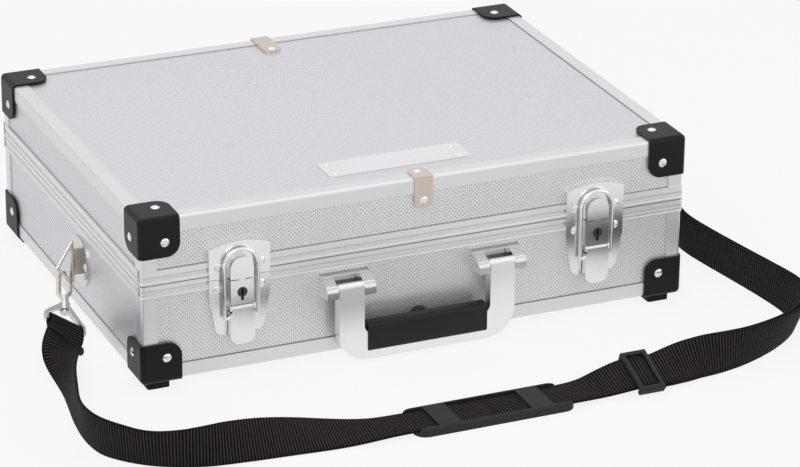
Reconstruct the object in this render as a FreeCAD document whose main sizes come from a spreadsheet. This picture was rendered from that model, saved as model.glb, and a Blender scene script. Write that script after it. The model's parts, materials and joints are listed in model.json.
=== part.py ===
import FreeCAD, Part
import math
import os
import Sketcher

# Hard tool case with two draw latches, a folding bow handle and a shoulder strap.
# X runs to the right along the front, -Y is the front, +Z is up, and the feet stand on z = 0.

document = FreeCAD.newDocument("tool_case")
sheet = document.addObject("Spreadsheet::Sheet", "sizes")

dimensions = {
    # the whole case, over its corner caps
    "case_width": 420.0,
    "frame_offset": 5.4,
    "case_depth": 310.0,
    "base_height": 75.0,
    "lid_height": 50.0,
    "foot_height": 6.5,
    "foot_width": 16.5,
    "foot_inset": 6.7,
    "foot_radius": 2.0,
    # corner caps
    "cap_gauge": 1.5,
    "cap_reach": 30.0,
    "cap_edge_radius": 3.8,
    "cap_lobe_radius": 10.0,
    "cap_rivet_inset": 19.0,
    # boards and aluminium profiles
    "edge_gauge": 1.0,
    "edge_radius": 2.2,
    "edge_leg": 11.0,
    "post_leg": 11.5,
    "board_thickness": 4.0,
    "liner_thickness": 2.0,
    "rim_stand": 0.8,
    "rim_corner_radius": 3.0,
    "base_rim_height": 9.5,
    "lid_rim_height": 10.5,
    "rim_web": 1.5,
    "rim_leg": 1.0,
    "rim_groove_height": 3.0,
    "rim_groove_depth": 0.7,
    "tongue_height": 4.0,
    "tongue_gauge": 1.0,
    "tongue_gap": 0.4,
    # rivets
    "rivet_radius": 3.2,
    "rivet_rise": 1.2,
    "small_rivet_radius": 2.0,
    "small_rivet_rise": 0.8,
    # lid hinges
    "hinge_inset": 92.0,
    "hinge_leaf_width": 40.0,
    "hinge_leaf_height": 25.0,
    "hinge_leaf_stand": 1.2,
    "hinge_barrel_radius": 2.5,
    "hinge_pin_radius": 1.2,
    "hinge_pin_gap": 0.05,
    "hinge_lid_knuckle": 14.0,
    "hinge_end_gap": 0.2,
    "hinge_relief_gap": 0.35,
    "hinge_rim_gap": 0.4,
    "hinge_rivet_spread": 13.0,
    "hinge_rivet_drop": 18.0,
    # draw latches: heights are measured up or down from the parting plane
    "latch_inset": 73.0,
    "latch_width": 45.4,
    "latch_plate_stand": 3.0,
    "latch_split_drop": 2.6,
    "latch_split_gap": 0.6,
    "latch_taper_drop": 16.2,
    "latch_foot_drop": 45.2,
    "latch_foot_width": 35.0,
    "latch_foot_radius": 6.0,
    "strike_gap": 0.3,
    "strike_gauge": 1.2,
    "strike_side_rise": 19.6,
    "strike_arch_rise": 4.5,
    "boss_width": 17.2,
    "boss_height": 16.6,
    "latch_rivet_spread": 15.8,
    "strike_rivet_rise": 6.2,
    "plate_rivet_drop": 10.5,
    "lock_box_width": 17.2,
    "lock_box_stand": 8.3,
    "lock_box_drop": 3.2,
    "lock_box_height": 18.6,
    "plug_radius": 3.7,
    "plug_gap": 0.05,
    "plug_stand": 0.2,
    "plug_depth": 4.6,
    "key_slot_width": 1.0,
    "key_slot_length": 5.0,
    "key_slot_depth": 2.5,
    "key_notch_width": 2.0,
    "key_notch_length": 2.6,
    "lever_pivot_drop": 24.5,
    "lever_pivot_stand": 6.7,
    "lever_barrel_radius": 2.2,
    "lever_pin_radius": 1.0,
    "lever_pin_gap": 0.05,
    "lever_neck_width": 16.0,
    "lever_width": 18.4,
    "lever_gauge": 1.2,
    "lever_reach": 27.1,
    "lever_flange_start": 3.2,
    "lever_flange_end": 20.0,
    "lever_back_gap": 1.0,
    "lever_tip_radius": 7.0,
    "ear_gauge": 1.2,
    "ear_gap": 0.3,
    "ear_radius": 2.5,
    "bail_pivot_drop": 32.0,
    "bail_stand": 6.2,
    "bail_wire_radius": 1.4,
    "bail_half_width": 12.6,
    "bail_top_rise": 18.9,
    "bail_stub_gap": 0.05,
    # bow handle
    "bracket_spread": 58.2,
    "bracket_width": 37.0,
    "bracket_top_drop": 12.5,
    "bracket_bottom_drop": 28.4,
    "bracket_nose_drop": 26.4,
    "bracket_hood_fall": 5.2,
    "bracket_web": 4.5,
    "handle_pivot_drop": 19.6,
    "handle_pivot_stand": 14.0,
    "handle_knuckle_radius": 3.0,
    "handle_pin_radius": 1.5,
    "handle_pin_gap": 0.05,
    "handle_pin_proud": 0.6,
    "bow_leg_width": 19.2,
    "bow_leg_gap": 0.35,
    "bow_wall": 1.5,
    "bow_depth": 8.0,
    "bow_floor_gap": 5.2,
    "bow_outer_radius": 22.0,
    "bow_inner_radius": 7.0,
    "grip_half_length": 46.0,
    "grip_rise": 5.2,
    "grip_height": 21.9,
    "grip_depth": 11.5,
    "grip_proud": 1.0,
    "grip_radius": 3.5,
    "grip_gap": 0.1,
    "bumper_radius": 6.4,
    "bumper_height": 5.0,
    "bumper_rise": 25.6,
    "bumper_edge_radius": 1.5,
    # name plate and edge clips
    "name_plate_width": 109.0,
    "name_plate_depth": 27.0,
    "name_plate_gauge": 0.8,
    "name_plate_x": -3.0,
    "name_plate_inset": 41.0,
    "name_plate_radius": 3.0,
    "name_plate_rivet_x": 48.2,
    "name_plate_rivet_y": 8.2,
    "clip_width": 14.0,
    "clip_gauge": 1.0,
    "clip_front_x": 2.5,
    "clip_back_x": -1.0,
    "clip_front_drop": 17.4,
    "clip_front_reach": 12.0,
    "clip_back_drop": 12.0,
    "clip_back_reach": 27.0,
    "clip_rivet_inset": 5.0,
    # strap ring brackets and rings
    "ring_y": -20.0,
    "ring_height_share": 0.5377,
    "ring_axis_stand": 6.5,
    "ring_plate_gauge": 1.2,
    "ring_plate_width": 40.0,
    "ring_plate_height": 36.0,
    "ring_tube_radius": 2.1,
    "ring_tube_length": 20.0,
    "ring_tube_gap": 0.08,
    "ring_wire_radius": 1.25,
    "ring_length": 31.0,
    "ring_throw": 16.0,
    "ring_rivet_spread": 13.0,
    "ring_swing_left": 28.0,
    "ring_swing_right": 10.0,
    # snap hooks
    "hook_seat_share": 0.55,
    "hook_wire_gap": 0.8,
    "hook_jaw_radius": 3.6,
    "hook_arm": 2.2,
    "hook_thickness": 3.4,
    "hook_straight": 14.8,
    "hook_neck_radius": 3.0,
    "hook_neck_length": 5.2,
    "hook_pin_radius": 1.9,
    "hook_pin_gap": 0.05,
    "hook_head_radius": 2.9,
    "hook_head_length": 1.6,
    "hook_play": 0.3,
    "gate_start": 4.8,
    "gate_length": 11.0,
    "gate_thickness": 2.2,
    "gate_gap": 0.3,
    "eye_collar_radius": 4.0,
    "eye_collar_length": 6.6,
    "eye_window_half": 15.4,
    "eye_rail": 2.4,
    "eye_thickness": 3.0,
    "eye_slot": 2.9,
    "eye_bar": 3.2,
    "eye_shoulder": 8.2,
    "hook_dip": 26.2,
    "hook_heading_left": -108.5,
    "hook_heading_right": -46.4,
    "hook_roll_left": 30.0,
    "hook_roll_right": -25.8,
    "eye_roll_left": -69.5,
    "eye_roll_right": 115.8,
    # shoulder strap
    "webbing_width": 29.0,
    "webbing_thickness": 1.5,
    "pad_length": 120.0,
    "pad_width": 36.0,
    "pad_height": 6.5,
    "pad_y": -272.6,
    "pad_floor": 2.9,
    "pad_channel": 30.4,
    "pad_channel_height": 2.4,
    "pad_bar_length": 16.5,
    "pad_bar_spread": 35.0,
    "pad_corner_radius": 9.0,
    "pad_edge_radius": 2.0,
    "slider_x": 118.0,
    "slider_y": -273.0,
    "slider_z": 10.5,
    "slider_tilt": 21.0,
    "slider_length": 20.0,
    "slider_rail": 3.2,
    "slider_bar": 3.4,
    "slider_bar_gauge": 2.2,
    "slider_channel": 2.1,
    # one overrun for every cut
    "overrun": 1.0,
}
for row, (alias, number) in enumerate(dimensions.items(), start=1):
    sheet.set(f"A{row}", alias)
    sheet.set(f"B{row}", str(number))
    sheet.setAlias(f"B{row}", alias)
document.recompute()


class Size:
    # a length or angle as a formula on the sheet, together with its present value
    def __init__(self, formula, value):
        self.formula = formula
        self.value = value

    def __add__(self, other):
        other = as_size(other)
        return Size(f"({self.formula} + {other.formula})", self.value + other.value)

    def __radd__(self, other):
        return as_size(other) + self

    def __sub__(self, other):
        other = as_size(other)
        return Size(f"({self.formula} - {other.formula})", self.value - other.value)

    def __rsub__(self, other):
        return as_size(other) - self

    def __mul__(self, other):
        other = as_size(other)
        return Size(f"({self.formula} * {other.formula})", self.value * other.value)

    def __rmul__(self, other):
        return as_size(other) * self

    def __truediv__(self, other):
        other = as_size(other)
        return Size(f"({self.formula} / {other.formula})", self.value / other.value)

    def __neg__(self):
        return as_size(0) - self


def as_size(item):
    if isinstance(item, Size):
        return item
    return Size(repr(float(item)), float(item))


class Sheet:
    def __getattr__(self, alias):
        return Size(f"sizes.{alias}", dimensions[alias])


s = Sheet()
subparts = []


def bind(item, target, size):
    item.setExpression(target, as_size(size).formula)


def move(item, x, y, z, rotation=None):
    item.Placement = FreeCAD.Placement(FreeCAD.Vector(), rotation or FreeCAD.Rotation())
    bind(item, ".Placement.Base.x", x)
    bind(item, ".Placement.Base.y", y)
    bind(item, ".Placement.Base.z", z)
    return item


def block(x_range, y_range, z_range):
    item = document.addObject("Part::Box", "block")
    bind(item, "Length", x_range[1] - x_range[0])
    bind(item, "Width", y_range[1] - y_range[0])
    bind(item, "Height", z_range[1] - z_range[0])
    return move(item, x_range[0], y_range[0], z_range[0])


turns = {
    "X": FreeCAD.Rotation(FreeCAD.Vector(0, 1, 0), 90),
    "Y": FreeCAD.Rotation(FreeCAD.Vector(1, 0, 0), -90),
    "Z": FreeCAD.Rotation(),
    "-X": FreeCAD.Rotation(FreeCAD.Vector(0, 1, 0), -90),
    "-Y": FreeCAD.Rotation(FreeCAD.Vector(1, 0, 0), 90),
    "-Z": FreeCAD.Rotation(FreeCAD.Vector(1, 0, 0), 180),
}


def rod(start, direction, radius, length):
    item = document.addObject("Part::Cylinder", "rod")
    bind(item, "Radius", radius)
    bind(item, "Height", length)
    return move(item, *start, turns[direction])


def ball(centre, radius):
    item = document.addObject("Part::Sphere", "ball")
    bind(item, "Radius", radius)
    return move(item, *centre)


def dome(centre, direction, radius, rise):
    # a rivet head: the top of a sphere that is cut off at the face it sits on
    item = document.addObject("Part::Sphere", "dome")
    sphere = (radius * radius + rise * rise) / (2 * rise)
    depth = sphere - rise
    bind(item, "Radius", sphere)
    item.setExpression("Angle1", f"asin({(depth / sphere).formula})")
    sign = -1 if direction.startswith("-") else 1
    middle = list(centre)
    index = "XYZ".index(direction[-1])
    middle[index] = middle[index] - sign * depth
    return move(item, *middle, turns[direction])


def fuse(*items):
    item = document.addObject("Part::MultiFuse", "fusion")
    item.Shapes = list(items)
    item.Refine = True
    return item


def cut(base, *tools):
    item = document.addObject("Part::Cut", "cut")
    item.Base = base
    item.Tool = tools[0] if len(tools) == 1 else fuse(*tools)
    item.Refine = True
    return item


def common(first, second):
    item = document.addObject("Part::Common", "common")
    item.Base = first
    item.Tool = second
    item.Refine = True
    return item


def group(*items):
    item = document.addObject("Part::Compound", "group")
    item.Links = list(items)
    return item


def mirrored(source, axis, base=0):
    item = document.addObject("Part::Mirroring", "mirrored")
    item.Source = source
    item.Normal = FreeCAD.Vector(axis == "X", axis == "Y", axis == "Z")
    bind(item, ".Base." + axis.lower(), base)
    return item


def four_corners(source):
    right = mirrored(source, "X")
    return [source, right, mirrored(source, "Y"), mirrored(right, "Y")]


planes = {"XY": "XY_Plane", "XZ": "XZ_Plane", "YZ": "YZ_Plane"}


def plate(plane, outlines, thickness, origin, rotation=None):
    # a padded sketch whose corners are all held by the sheet; it grows along the plane's normal
    body = document.addObject("PartDesign::Body", "plate")
    sketch = body.newObject("Sketcher::SketchObject", "outline")
    support = [item for item in body.Origin.OriginFeatures if item.Role == planes[plane]][0]
    sketch.AttachmentSupport = (support, [""])
    sketch.MapMode = "FlatFace"
    first = 0
    for corners in outlines:
        values = [FreeCAD.Vector(as_size(a).value, as_size(b).value, 0) for a, b in corners]
        count = len(values)
        sketch.addGeometry([Part.LineSegment(values[i], values[(i + 1) % count]) for i in range(count)], False)
        for i, (a, b) in enumerate(corners):
            line = first + i
            sketch.addConstraint(Sketcher.Constraint("Coincident", line, 2, first + (i + 1) % count, 1))
            for kind, size in (("DistanceX", a), ("DistanceY", b)):
                index = sketch.addConstraint(Sketcher.Constraint(kind, -1, 1, line, 1, as_size(size).value))
                sketch.setExpression(f"Constraints[{index}]", as_size(size).formula)
        first += count
    pad = body.newObject("PartDesign::Pad", "pad")
    pad.Profile = sketch
    bind(pad, "Length", thickness)
    body.Tip = pad
    move(body, *origin, rotation)
    document.recompute()
    return body


def edges_at(shape, spots, span):
    # the edges that run along one axis through the given spots of a plate
    names = []
    for number, edge in enumerate(shape.Edges, start=1):
        ends = [vertex.Point for vertex in edge.Vertexes]
        if len(ends) != 2 or abs((ends[0] - ends[1])[span]) < tolerance:
            continue
        for spot in spots:
            if all(math.dist(pick(end, span), spot) < tolerance for end in ends):
                names.append(f"Edge{number}")
    return names


tolerance = 1e-4


def pick(point, span):
    return [point[axis] for axis in range(3) if axis != span]


def round_corners(body, plane, corners, radius):
    # rounds the standing edges of a plate at the given corners of its outline
    spans = {"XY": 2, "XZ": 1, "YZ": 0}
    spots = [[as_size(a).value, as_size(b).value] for a, b in corners]
    before = body.Tip
    fillet = body.newObject("PartDesign::Fillet", "rounding")
    fillet.Base = (before, edges_at(before.Shape, spots, spans[plane]))
    bind(fillet, "Radius", radius)
    body.Tip = fillet
    document.recompute()
    return body


def round_edges(body, choose, radius):
    # rounds every edge whose bounding box passes the test
    before = body.Tip
    names = [f"Edge{number}" for number, edge in enumerate(before.Shape.Edges, start=1) if choose(edge.BoundBox)]
    fillet = body.newObject("PartDesign::Fillet", "rounding")
    fillet.Base = (before, names)
    bind(fillet, "Radius", radius)
    body.Tip = fillet
    document.recompute()
    return body


def name(item, label):
    # the finished piece, brought to the frame whose origin is the middle of the case's whole box
    piece = move(group(item), 0, s.frame_offset, 0)
    piece.Label = label
    subparts.append(piece)
    return item


# planes and half sizes that the pieces share
cap_bottom = s.foot_height
parting = cap_bottom + s.base_height
cap_top = parting + s.lid_height
body_half = (s.case_width / 2 - s.cap_gauge, s.case_depth / 2 - s.cap_gauge)
board_half = (body_half[0] - s.edge_gauge, body_half[1] - s.edge_gauge)
inner_half = (board_half[0] - s.board_thickness, board_half[1] - s.board_thickness)
rim_half = (body_half[0] + s.rim_stand, body_half[1] + s.rim_stand)
body_bottom = cap_bottom + s.cap_gauge
body_top = cap_top - s.cap_gauge
board_bottom = body_bottom + s.edge_gauge
board_top = body_top - s.edge_gauge
rim_proud = rim_half[1] - board_half[1]
cap_centre = (cap_bottom + cap_top) / 2
latch_spread = s.case_width / 2 - s.latch_inset
hinge_spread = s.case_width / 2 - s.hinge_inset
base_edge_top = body_bottom + s.edge_leg
base_rim_bottom = parting - s.base_rim_height
ring_level = base_edge_top + s.ring_height_share * (base_rim_bottom - base_edge_top)


def front(centre, across, out, up):
    # ranges on the front: across from a centre, outwards from the boards, up from the parting plane
    return (
        (centre + across[0], centre + across[1]),
        (-board_half[1] - out[1], -board_half[1] - out[0]),
        (parting + up[0], parting + up[1]),
    )


def rounded_block(half, levels, radius, choose):
    # a block about the Z axis with the chosen edges rounded, which the bent profiles are trimmed to
    corners = [(-half[0], -half[1]), (half[0], -half[1]), (half[0], half[1]), (-half[0], half[1])]
    body = plate("XY", [corners], levels[1] - levels[0], (0, 0, levels[0]))
    return round_edges(body, choose, radius)


def any_edge(box):
    return True


def standing_edge(box):
    return box.ZLength > tolerance and box.XLength < tolerance and box.YLength < tolerance


def make_boards(prefix, low, high, flat_low, flat_high):
    # four standing boards butt round the flat one
    x, y, thickness = board_half[0], board_half[1], s.board_thickness
    name(block((-x, x), (-y, -inner_half[1]), (low, high)), prefix + "_front_panel")
    name(block((-x, x), (inner_half[1], y), (low, high)), prefix + "_back_panel")
    name(block((-x, -inner_half[0]), (-inner_half[1], inner_half[1]), (low, high)), prefix + "_left_panel")
    name(block((inner_half[0], x), (-inner_half[1], inner_half[1]), (low, high)), prefix + "_right_panel")
    flat = "_bottom_panel" if prefix == "base" else "_top_panel"
    name(block((-inner_half[0], inner_half[0]), (-inner_half[1], inner_half[1]), (flat_low, flat_high)), prefix + flat)


body_outline = rounded_block(body_half, (body_bottom, body_top), s.edge_radius, any_edge)
rim_levels = (parting - s.base_rim_height, parting + s.lid_rim_height)
rim_outline = rounded_block(rim_half, rim_levels, s.rim_corner_radius, standing_edge)


def make_edges(label, outside, inside, wall_far):
    # L profiles round the bottom or the top edge, in four lengths
    x, y, leg = body_half[0], body_half[1], s.edge_leg
    low, high = sorted((outside, inside), key=lambda size: size.value)
    wall = sorted((outside, wall_far), key=lambda size: size.value)
    reach_x, reach_y = x - leg, y - leg
    front_bar = fuse(
        block((-x, x), (-y, -board_half[1]), wall),
        block((-x, x), (-y, -reach_y), (low, high)),
    )
    side_bar = fuse(
        block((-x, -board_half[0]), (-reach_y, reach_y), wall),
        block((-x, -reach_x), (-reach_y, reach_y), (low, high)),
    )
    front_bar = common(front_bar, body_outline)
    side_bar = common(side_bar, body_outline)
    name(group(front_bar, mirrored(front_bar, "Y"), side_bar, mirrored(side_bar, "X")), label)


def make_posts(label, low, high):
    # upright L profiles at the four corners
    x, y, leg = body_half[0], body_half[1], s.post_leg
    post = fuse(
        block((-x, leg - x), (-y, -board_half[1]), (low, high)),
        block((-x, -board_half[0]), (-y, leg - y), (low, high)),
    )
    name(group(*four_corners(common(post, body_outline))), label)


def rim_length(along_x, low, high, web, groove, tongue):
    # one straight length of the rim profile on the front or the left side
    axis = 1 if along_x else 0
    rim, board, inner = rim_half[axis], board_half[axis], inner_half[axis]
    leg_depth = s.rim_leg if tongue is None else s.rim_leg + s.tongue_gap + s.tongue_gauge
    leg = inner - leg_depth
    reach = rim_half[0] if along_x else inner_half[1]
    leg_reach = inner_half[0] if along_x else inner_half[1] - leg_depth

    def bar(end, far, near, levels):
        span = (-end, end)
        return block(span, (-far, -near), levels) if along_x else block((-far, -near), span, levels)

    solids = [
        bar(reach, rim, board, (low, high)),
        bar(reach, board, inner, web),
        bar(leg_reach, inner, leg, (low, high)),
    ]
    if tongue is not None:
        tongue_reach = inner_half[0] - leg_depth + s.tongue_gauge if along_x else leg_reach
        solids.append(bar(tongue_reach, leg + s.tongue_gauge, leg, tongue))
    profile = fuse(*solids)
    slot = bar(reach + s.overrun, rim + s.overrun, rim - s.rim_groove_depth, groove)
    return common(cut(profile, slot), rim_outline) if along_x else cut(profile, slot)


def make_rim(label, low, high, web, tongue):
    middle = (low + high) / 2
    groove = (middle - s.rim_groove_height / 2, middle + s.rim_groove_height / 2)
    front_bar = rim_length(True, low, high, web, groove, tongue)
    side_bar = rim_length(False, low, high, web, groove, tongue)
    name(group(front_bar, mirrored(front_bar, "Y"), side_bar, mirrored(side_bar, "X")), label)


def make_liner(label, side_range, flat_range):
    # felt sheets on the inside of the boards
    x, y, felt = inner_half[0], inner_half[1], s.liner_thickness
    sides = block((-x, x), (-y, felt - y), side_range)
    ends = block((-x, felt - x), (felt - y, y - felt), side_range)
    flat = block((-x, x), (-y, y), flat_range)
    name(group(sides, mirrored(sides, "Y"), ends, mirrored(ends, "X"), flat), label)


def corner_cap():
    # the front left cap of the base: three lobes that meet at the corner
    reach, gauge = s.cap_reach, s.cap_gauge
    body = plate("XY", [[(0, 0), (reach, 0), (reach, reach), (0, reach)]], reach, (0, 0, 0))
    far = reach.value

    def outer_edge(box):
        longest = max(box.XLength, box.YLength, box.ZLength)
        on_axis = [box.XMin + box.XMax < far, box.YMin + box.YMax < far, box.ZMin + box.ZMax < far]
        touching = [box.XMin < tolerance, box.YMin < tolerance, box.ZMin < tolerance]
        flat = [box.XLength < tolerance, box.YLength < tolerance, box.ZLength < tolerance]
        return sum(flat) == 2 and all(touching) and longest > tolerance and sum(on_axis) >= 2

    round_edges(body, outer_edge, s.cap_edge_radius)
    hollow = body.newObject("PartDesign::SubtractiveBox", "hollow")
    bind(hollow, "Length", reach)
    bind(hollow, "Width", reach)
    bind(hollow, "Height", reach)
    bind(hollow, ".Placement.Base.x", gauge)
    bind(hollow, ".Placement.Base.y", gauge)
    bind(hollow, ".Placement.Base.z", gauge)
    body.Tip = hollow
    document.recompute()

    def lobe_corner(box):
        flat = [box.XLength < tolerance, box.YLength < tolerance, box.ZLength < tolerance]
        at_far = [box.XMin > far - tolerance, box.YMin > far - tolerance, box.ZMin > far - tolerance]
        return sum(flat) == 2 and sum(at_far) == 2

    round_edges(body, lobe_corner, s.cap_lobe_radius)
    return move(body, -s.case_width / 2, -s.case_depth / 2, cap_bottom)


def cap_rivets(flat_face, sign):
    # one rivet on each lobe of the front left cap
    x, y = s.case_width / 2, s.case_depth / 2
    inset = s.cap_rivet_inset
    level = flat_face + sign * inset
    return [
        dome((inset - x, -y, level), "-Y", s.rivet_radius, s.rivet_rise),
        dome((-x, inset - y, level), "-X", s.rivet_radius, s.rivet_rise),
    ]


def make_case():
    web_low = (parting - s.rim_web, parting)
    web_high = (parting, parting + s.rim_web)
    lid_rim_top = parting + s.lid_rim_height
    inner_floor = board_bottom + s.board_thickness
    inner_roof = board_top - s.board_thickness
    make_boards("base", board_bottom, parting - s.rim_web, board_bottom, inner_floor)
    make_boards("lid", parting + s.rim_web, board_top, inner_roof, board_top)
    make_edges("base_edge_profiles", body_bottom, board_bottom, base_edge_top)
    make_edges("lid_edge_profiles", body_top, board_top, body_top - s.edge_leg)
    make_posts("base_corner_profiles", base_edge_top, base_rim_bottom)
    make_posts("lid_corner_profiles", lid_rim_top, body_top - s.edge_leg)
    make_rim("base_rim", base_rim_bottom, parting, web_low, (parting, parting + s.tongue_height))
    make_rim("lid_rim", parting, lid_rim_top, web_high, None)
    felt = s.liner_thickness
    make_liner("base_liner", (inner_floor + felt, base_rim_bottom), (inner_floor, inner_floor + felt))
    make_liner("lid_liner", (lid_rim_top, inner_roof - felt), (inner_roof - felt, inner_roof))
    cap = corner_cap()
    name(group(*four_corners(cap)), "base_corner_caps")
    name(group(*[mirrored(item, "Z", cap_centre) for item in four_corners(cap)]), "lid_corner_caps")
    width, radius = s.foot_width, s.foot_radius
    foot = plate("XY", [[(0, 0), (width, 0), (width, width), (0, width)]], s.foot_height, (0, 0, 0))
    round_corners(foot, "XY", [(0, 0), (width, 0), (width, width), (0, width)], radius)
    move(foot, s.foot_inset - s.case_width / 2, s.foot_inset - s.case_depth / 2, 0)
    name(group(*four_corners(foot)), "feet")


def make_hinges():
    axis_y = rim_half[1] + s.hinge_barrel_radius + s.hinge_rim_gap
    half = s.hinge_leaf_width / 2
    lid_half = s.hinge_lid_knuckle / 2
    leaf_out = rim_proud + s.hinge_leaf_stand
    gap = s.hinge_end_gap
    reliefs = s.hinge_barrel_radius + s.hinge_relief_gap
    leaves = {"hinge_base_leaves": [], "hinge_lid_leaves": []}
    pins = []
    for side in (-1, 1):
        x = side * hinge_spread
        spans = {
            "hinge_base_leaves": [(-half, -lid_half - gap), (lid_half + gap, half)],
            "hinge_lid_leaves": [(-lid_half, lid_half)],
        }
        other = {"hinge_base_leaves": "hinge_lid_leaves", "hinge_lid_leaves": "hinge_base_leaves"}
        for label, sign in (("hinge_base_leaves", -1), ("hinge_lid_leaves", 1)):
            rim_end = parting + sign * (s.base_rim_height if sign < 0 else s.lid_rim_height)
            levels = sorted((parting + sign * gap, parting + sign * s.hinge_leaf_height), key=lambda z: z.value)
            slab = block((x - half, x + half), (board_half[1], board_half[1] + leaf_out), levels)
            band = sorted((parting - sign * s.overrun, rim_end), key=lambda z: z.value)
            seat = block((x - half - s.overrun, x + half + s.overrun), (board_half[1] - s.overrun, rim_half[1]), band)
            leaf = cut(slab, seat)
            knuckles = []
            for start, end in spans[label]:
                knuckles.append(rod((x + start, axis_y, parting), "X", s.hinge_barrel_radius, end - start))
                root = (parting, parting + sign * s.hinge_barrel_radius)
                knuckles.append(block(
                    (x + start, x + end), (rim_half[1] + s.hinge_leaf_stand / 2, axis_y),
                    sorted(root, key=lambda z: z.value)))
            reliefs_cut = [
                rod((x + start - gap, axis_y, parting), "X", reliefs, end - start + 2 * gap)
                for start, end in spans[other[label]]
            ]
            tight = s.hinge_pin_radius if sign < 0 else s.hinge_pin_radius + s.hinge_pin_gap
            bore = rod((x - half - s.overrun, axis_y, parting), "X", tight, s.hinge_leaf_width + 2 * s.overrun)
            leaves[label].append(cut(fuse(leaf, *knuckles), bore, *reliefs_cut))
        pins.append(rod((x - half, axis_y, parting), "X", s.hinge_pin_radius, s.hinge_leaf_width))
    for label, items in leaves.items():
        name(group(*items), label)
    name(group(*pins), "hinge_pins")


def make_latch(side, x):
    half = s.latch_width / 2
    plate_top = -s.latch_split_drop - s.latch_split_gap
    foot_half = s.latch_foot_width / 2
    outline = [
        (-half, plate_top), (-half, -s.latch_taper_drop), (-foot_half, -s.latch_foot_drop),
        (foot_half, -s.latch_foot_drop), (half, -s.latch_taper_drop), (half, plate_top),
    ]
    stand = s.latch_plate_stand
    base = plate("XZ", [outline], stand, (x, -board_half[1], parting))
    round_corners(base, "XZ", [outline[2], outline[3]], s.latch_foot_radius)
    rim_band = block(*front(x, (-half - s.overrun, half + s.overrun), (-s.overrun, rim_proud),
                            (-s.base_rim_height, s.overrun)))
    box_half = s.lock_box_width / 2
    box = block(*front(x, (-box_half, box_half), (stand - s.overrun, s.lock_box_stand),
                       (-s.lock_box_drop - s.lock_box_height, -s.lock_box_drop)))
    neck = s.lever_neck_width / 2
    pivot_z, pivot_out = -s.lever_pivot_drop, s.lever_pivot_stand
    ears = []
    for sign in (-1, 1):
        near, far = neck + s.ear_gap, neck + s.ear_gap + s.ear_gauge
        across = (near, far) if sign > 0 else (-far, -near)
        ears.append(rod((x + across[0], -board_half[1] - pivot_out, parting + pivot_z), "X", s.ear_radius, s.ear_gauge))
        ears.append(block(*front(x, across, (stand - s.overrun, pivot_out),
                                 (pivot_z - s.ear_radius, pivot_z + s.ear_radius))))
    ear_span = s.lever_neck_width + 2 * (s.ear_gap + s.ear_gauge)
    pin_start = (x - ear_span / 2, -board_half[1] - pivot_out, parting + pivot_z)
    pin_hole = rod((pin_start[0] - s.overrun, *pin_start[1:]), "X", s.lever_pin_radius, ear_span + 2 * s.overrun)
    plug_z = parting - s.lock_box_drop - s.lock_box_height / 2
    plug_y = -board_half[1] - s.lock_box_stand
    plug_hole = rod((x, plug_y - s.overrun, plug_z), "Y", s.plug_radius + s.plug_gap,
                    s.plug_depth + s.overrun + s.plug_gap)
    notch = block(
        (x - s.key_notch_width / 2, x + s.key_notch_width / 2),
        (plug_y - s.overrun, plug_y + s.key_slot_depth),
        (plug_z - s.plug_radius - s.key_notch_length, plug_z))
    name(cut(fuse(cut(base, rim_band), box, *ears), pin_hole, plug_hole, notch), f"latch_base_{side}")
    pin = rod(pin_start, "X", s.lever_pin_radius, ear_span)

    plug = rod((x, plug_y - s.plug_stand, plug_z), "Y", s.plug_radius, s.plug_depth + s.plug_stand)
    key_slot = block(
        (x - s.key_slot_width / 2, x + s.key_slot_width / 2),
        (plug_y - s.overrun, plug_y + s.key_slot_depth),
        (plug_z - s.key_slot_length / 2, plug_z + s.key_slot_length / 2))
    name(cut(plug, key_slot), f"lock_plug_{side}")

    # strike plate on the lid, with a skirt that hangs over the base rim
    corner = s.strike_side_rise
    sag, width = s.strike_arch_rise, s.latch_width
    arch_radius = (width * width / 4 + sag * sag) / (2 * sag)
    strike_front = rim_proud + s.strike_gap + s.strike_gauge
    slab = block(*front(x, (-half, half), (0, strike_front), (-s.latch_split_drop, corner + sag)))
    arch = rod((x, -board_half[1] - strike_front - s.overrun, parting + corner + sag - arch_radius), "Y",
               arch_radius, strike_front + 2 * s.overrun)
    skirt_space = block(*front(x, (-half - s.overrun, half + s.overrun), (-s.overrun, rim_proud + s.strike_gap),
                               (-s.latch_split_drop - s.overrun, s.strike_gap)))
    lid_band = block(*front(x, (-half - s.overrun, half + s.overrun), (-s.overrun, rim_proud),
                            (-s.overrun, s.lid_rim_height)))
    boss_half = s.boss_width / 2
    boss_out = (strike_front - s.strike_gauge / 2, s.lock_box_stand)
    shoulder = s.boss_height - boss_half - s.latch_split_drop
    boss = fuse(
        block(*front(x, (-boss_half, boss_half), boss_out, (-s.latch_split_drop, shoulder))),
        rod((x, -board_half[1] - boss_out[1], parting + shoulder), "Y", boss_half, boss_out[1] - boss_out[0]))
    name(fuse(cut(common(slab, arch), skirt_space, lid_band), boss), f"latch_strike_{side}")
    make_lever(side, x)
    rivets = []
    for sign in (-1, 1):
        across = x + sign * s.latch_rivet_spread
        rivets.append((across, -board_half[1] - stand, parting - s.plate_rivet_drop))
    strikes = [(x + sign * s.latch_rivet_spread, -board_half[1] - strike_front, parting + s.strike_rivet_rise)
               for sign in (-1, 1)]
    return rivets, strikes, pin


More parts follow.
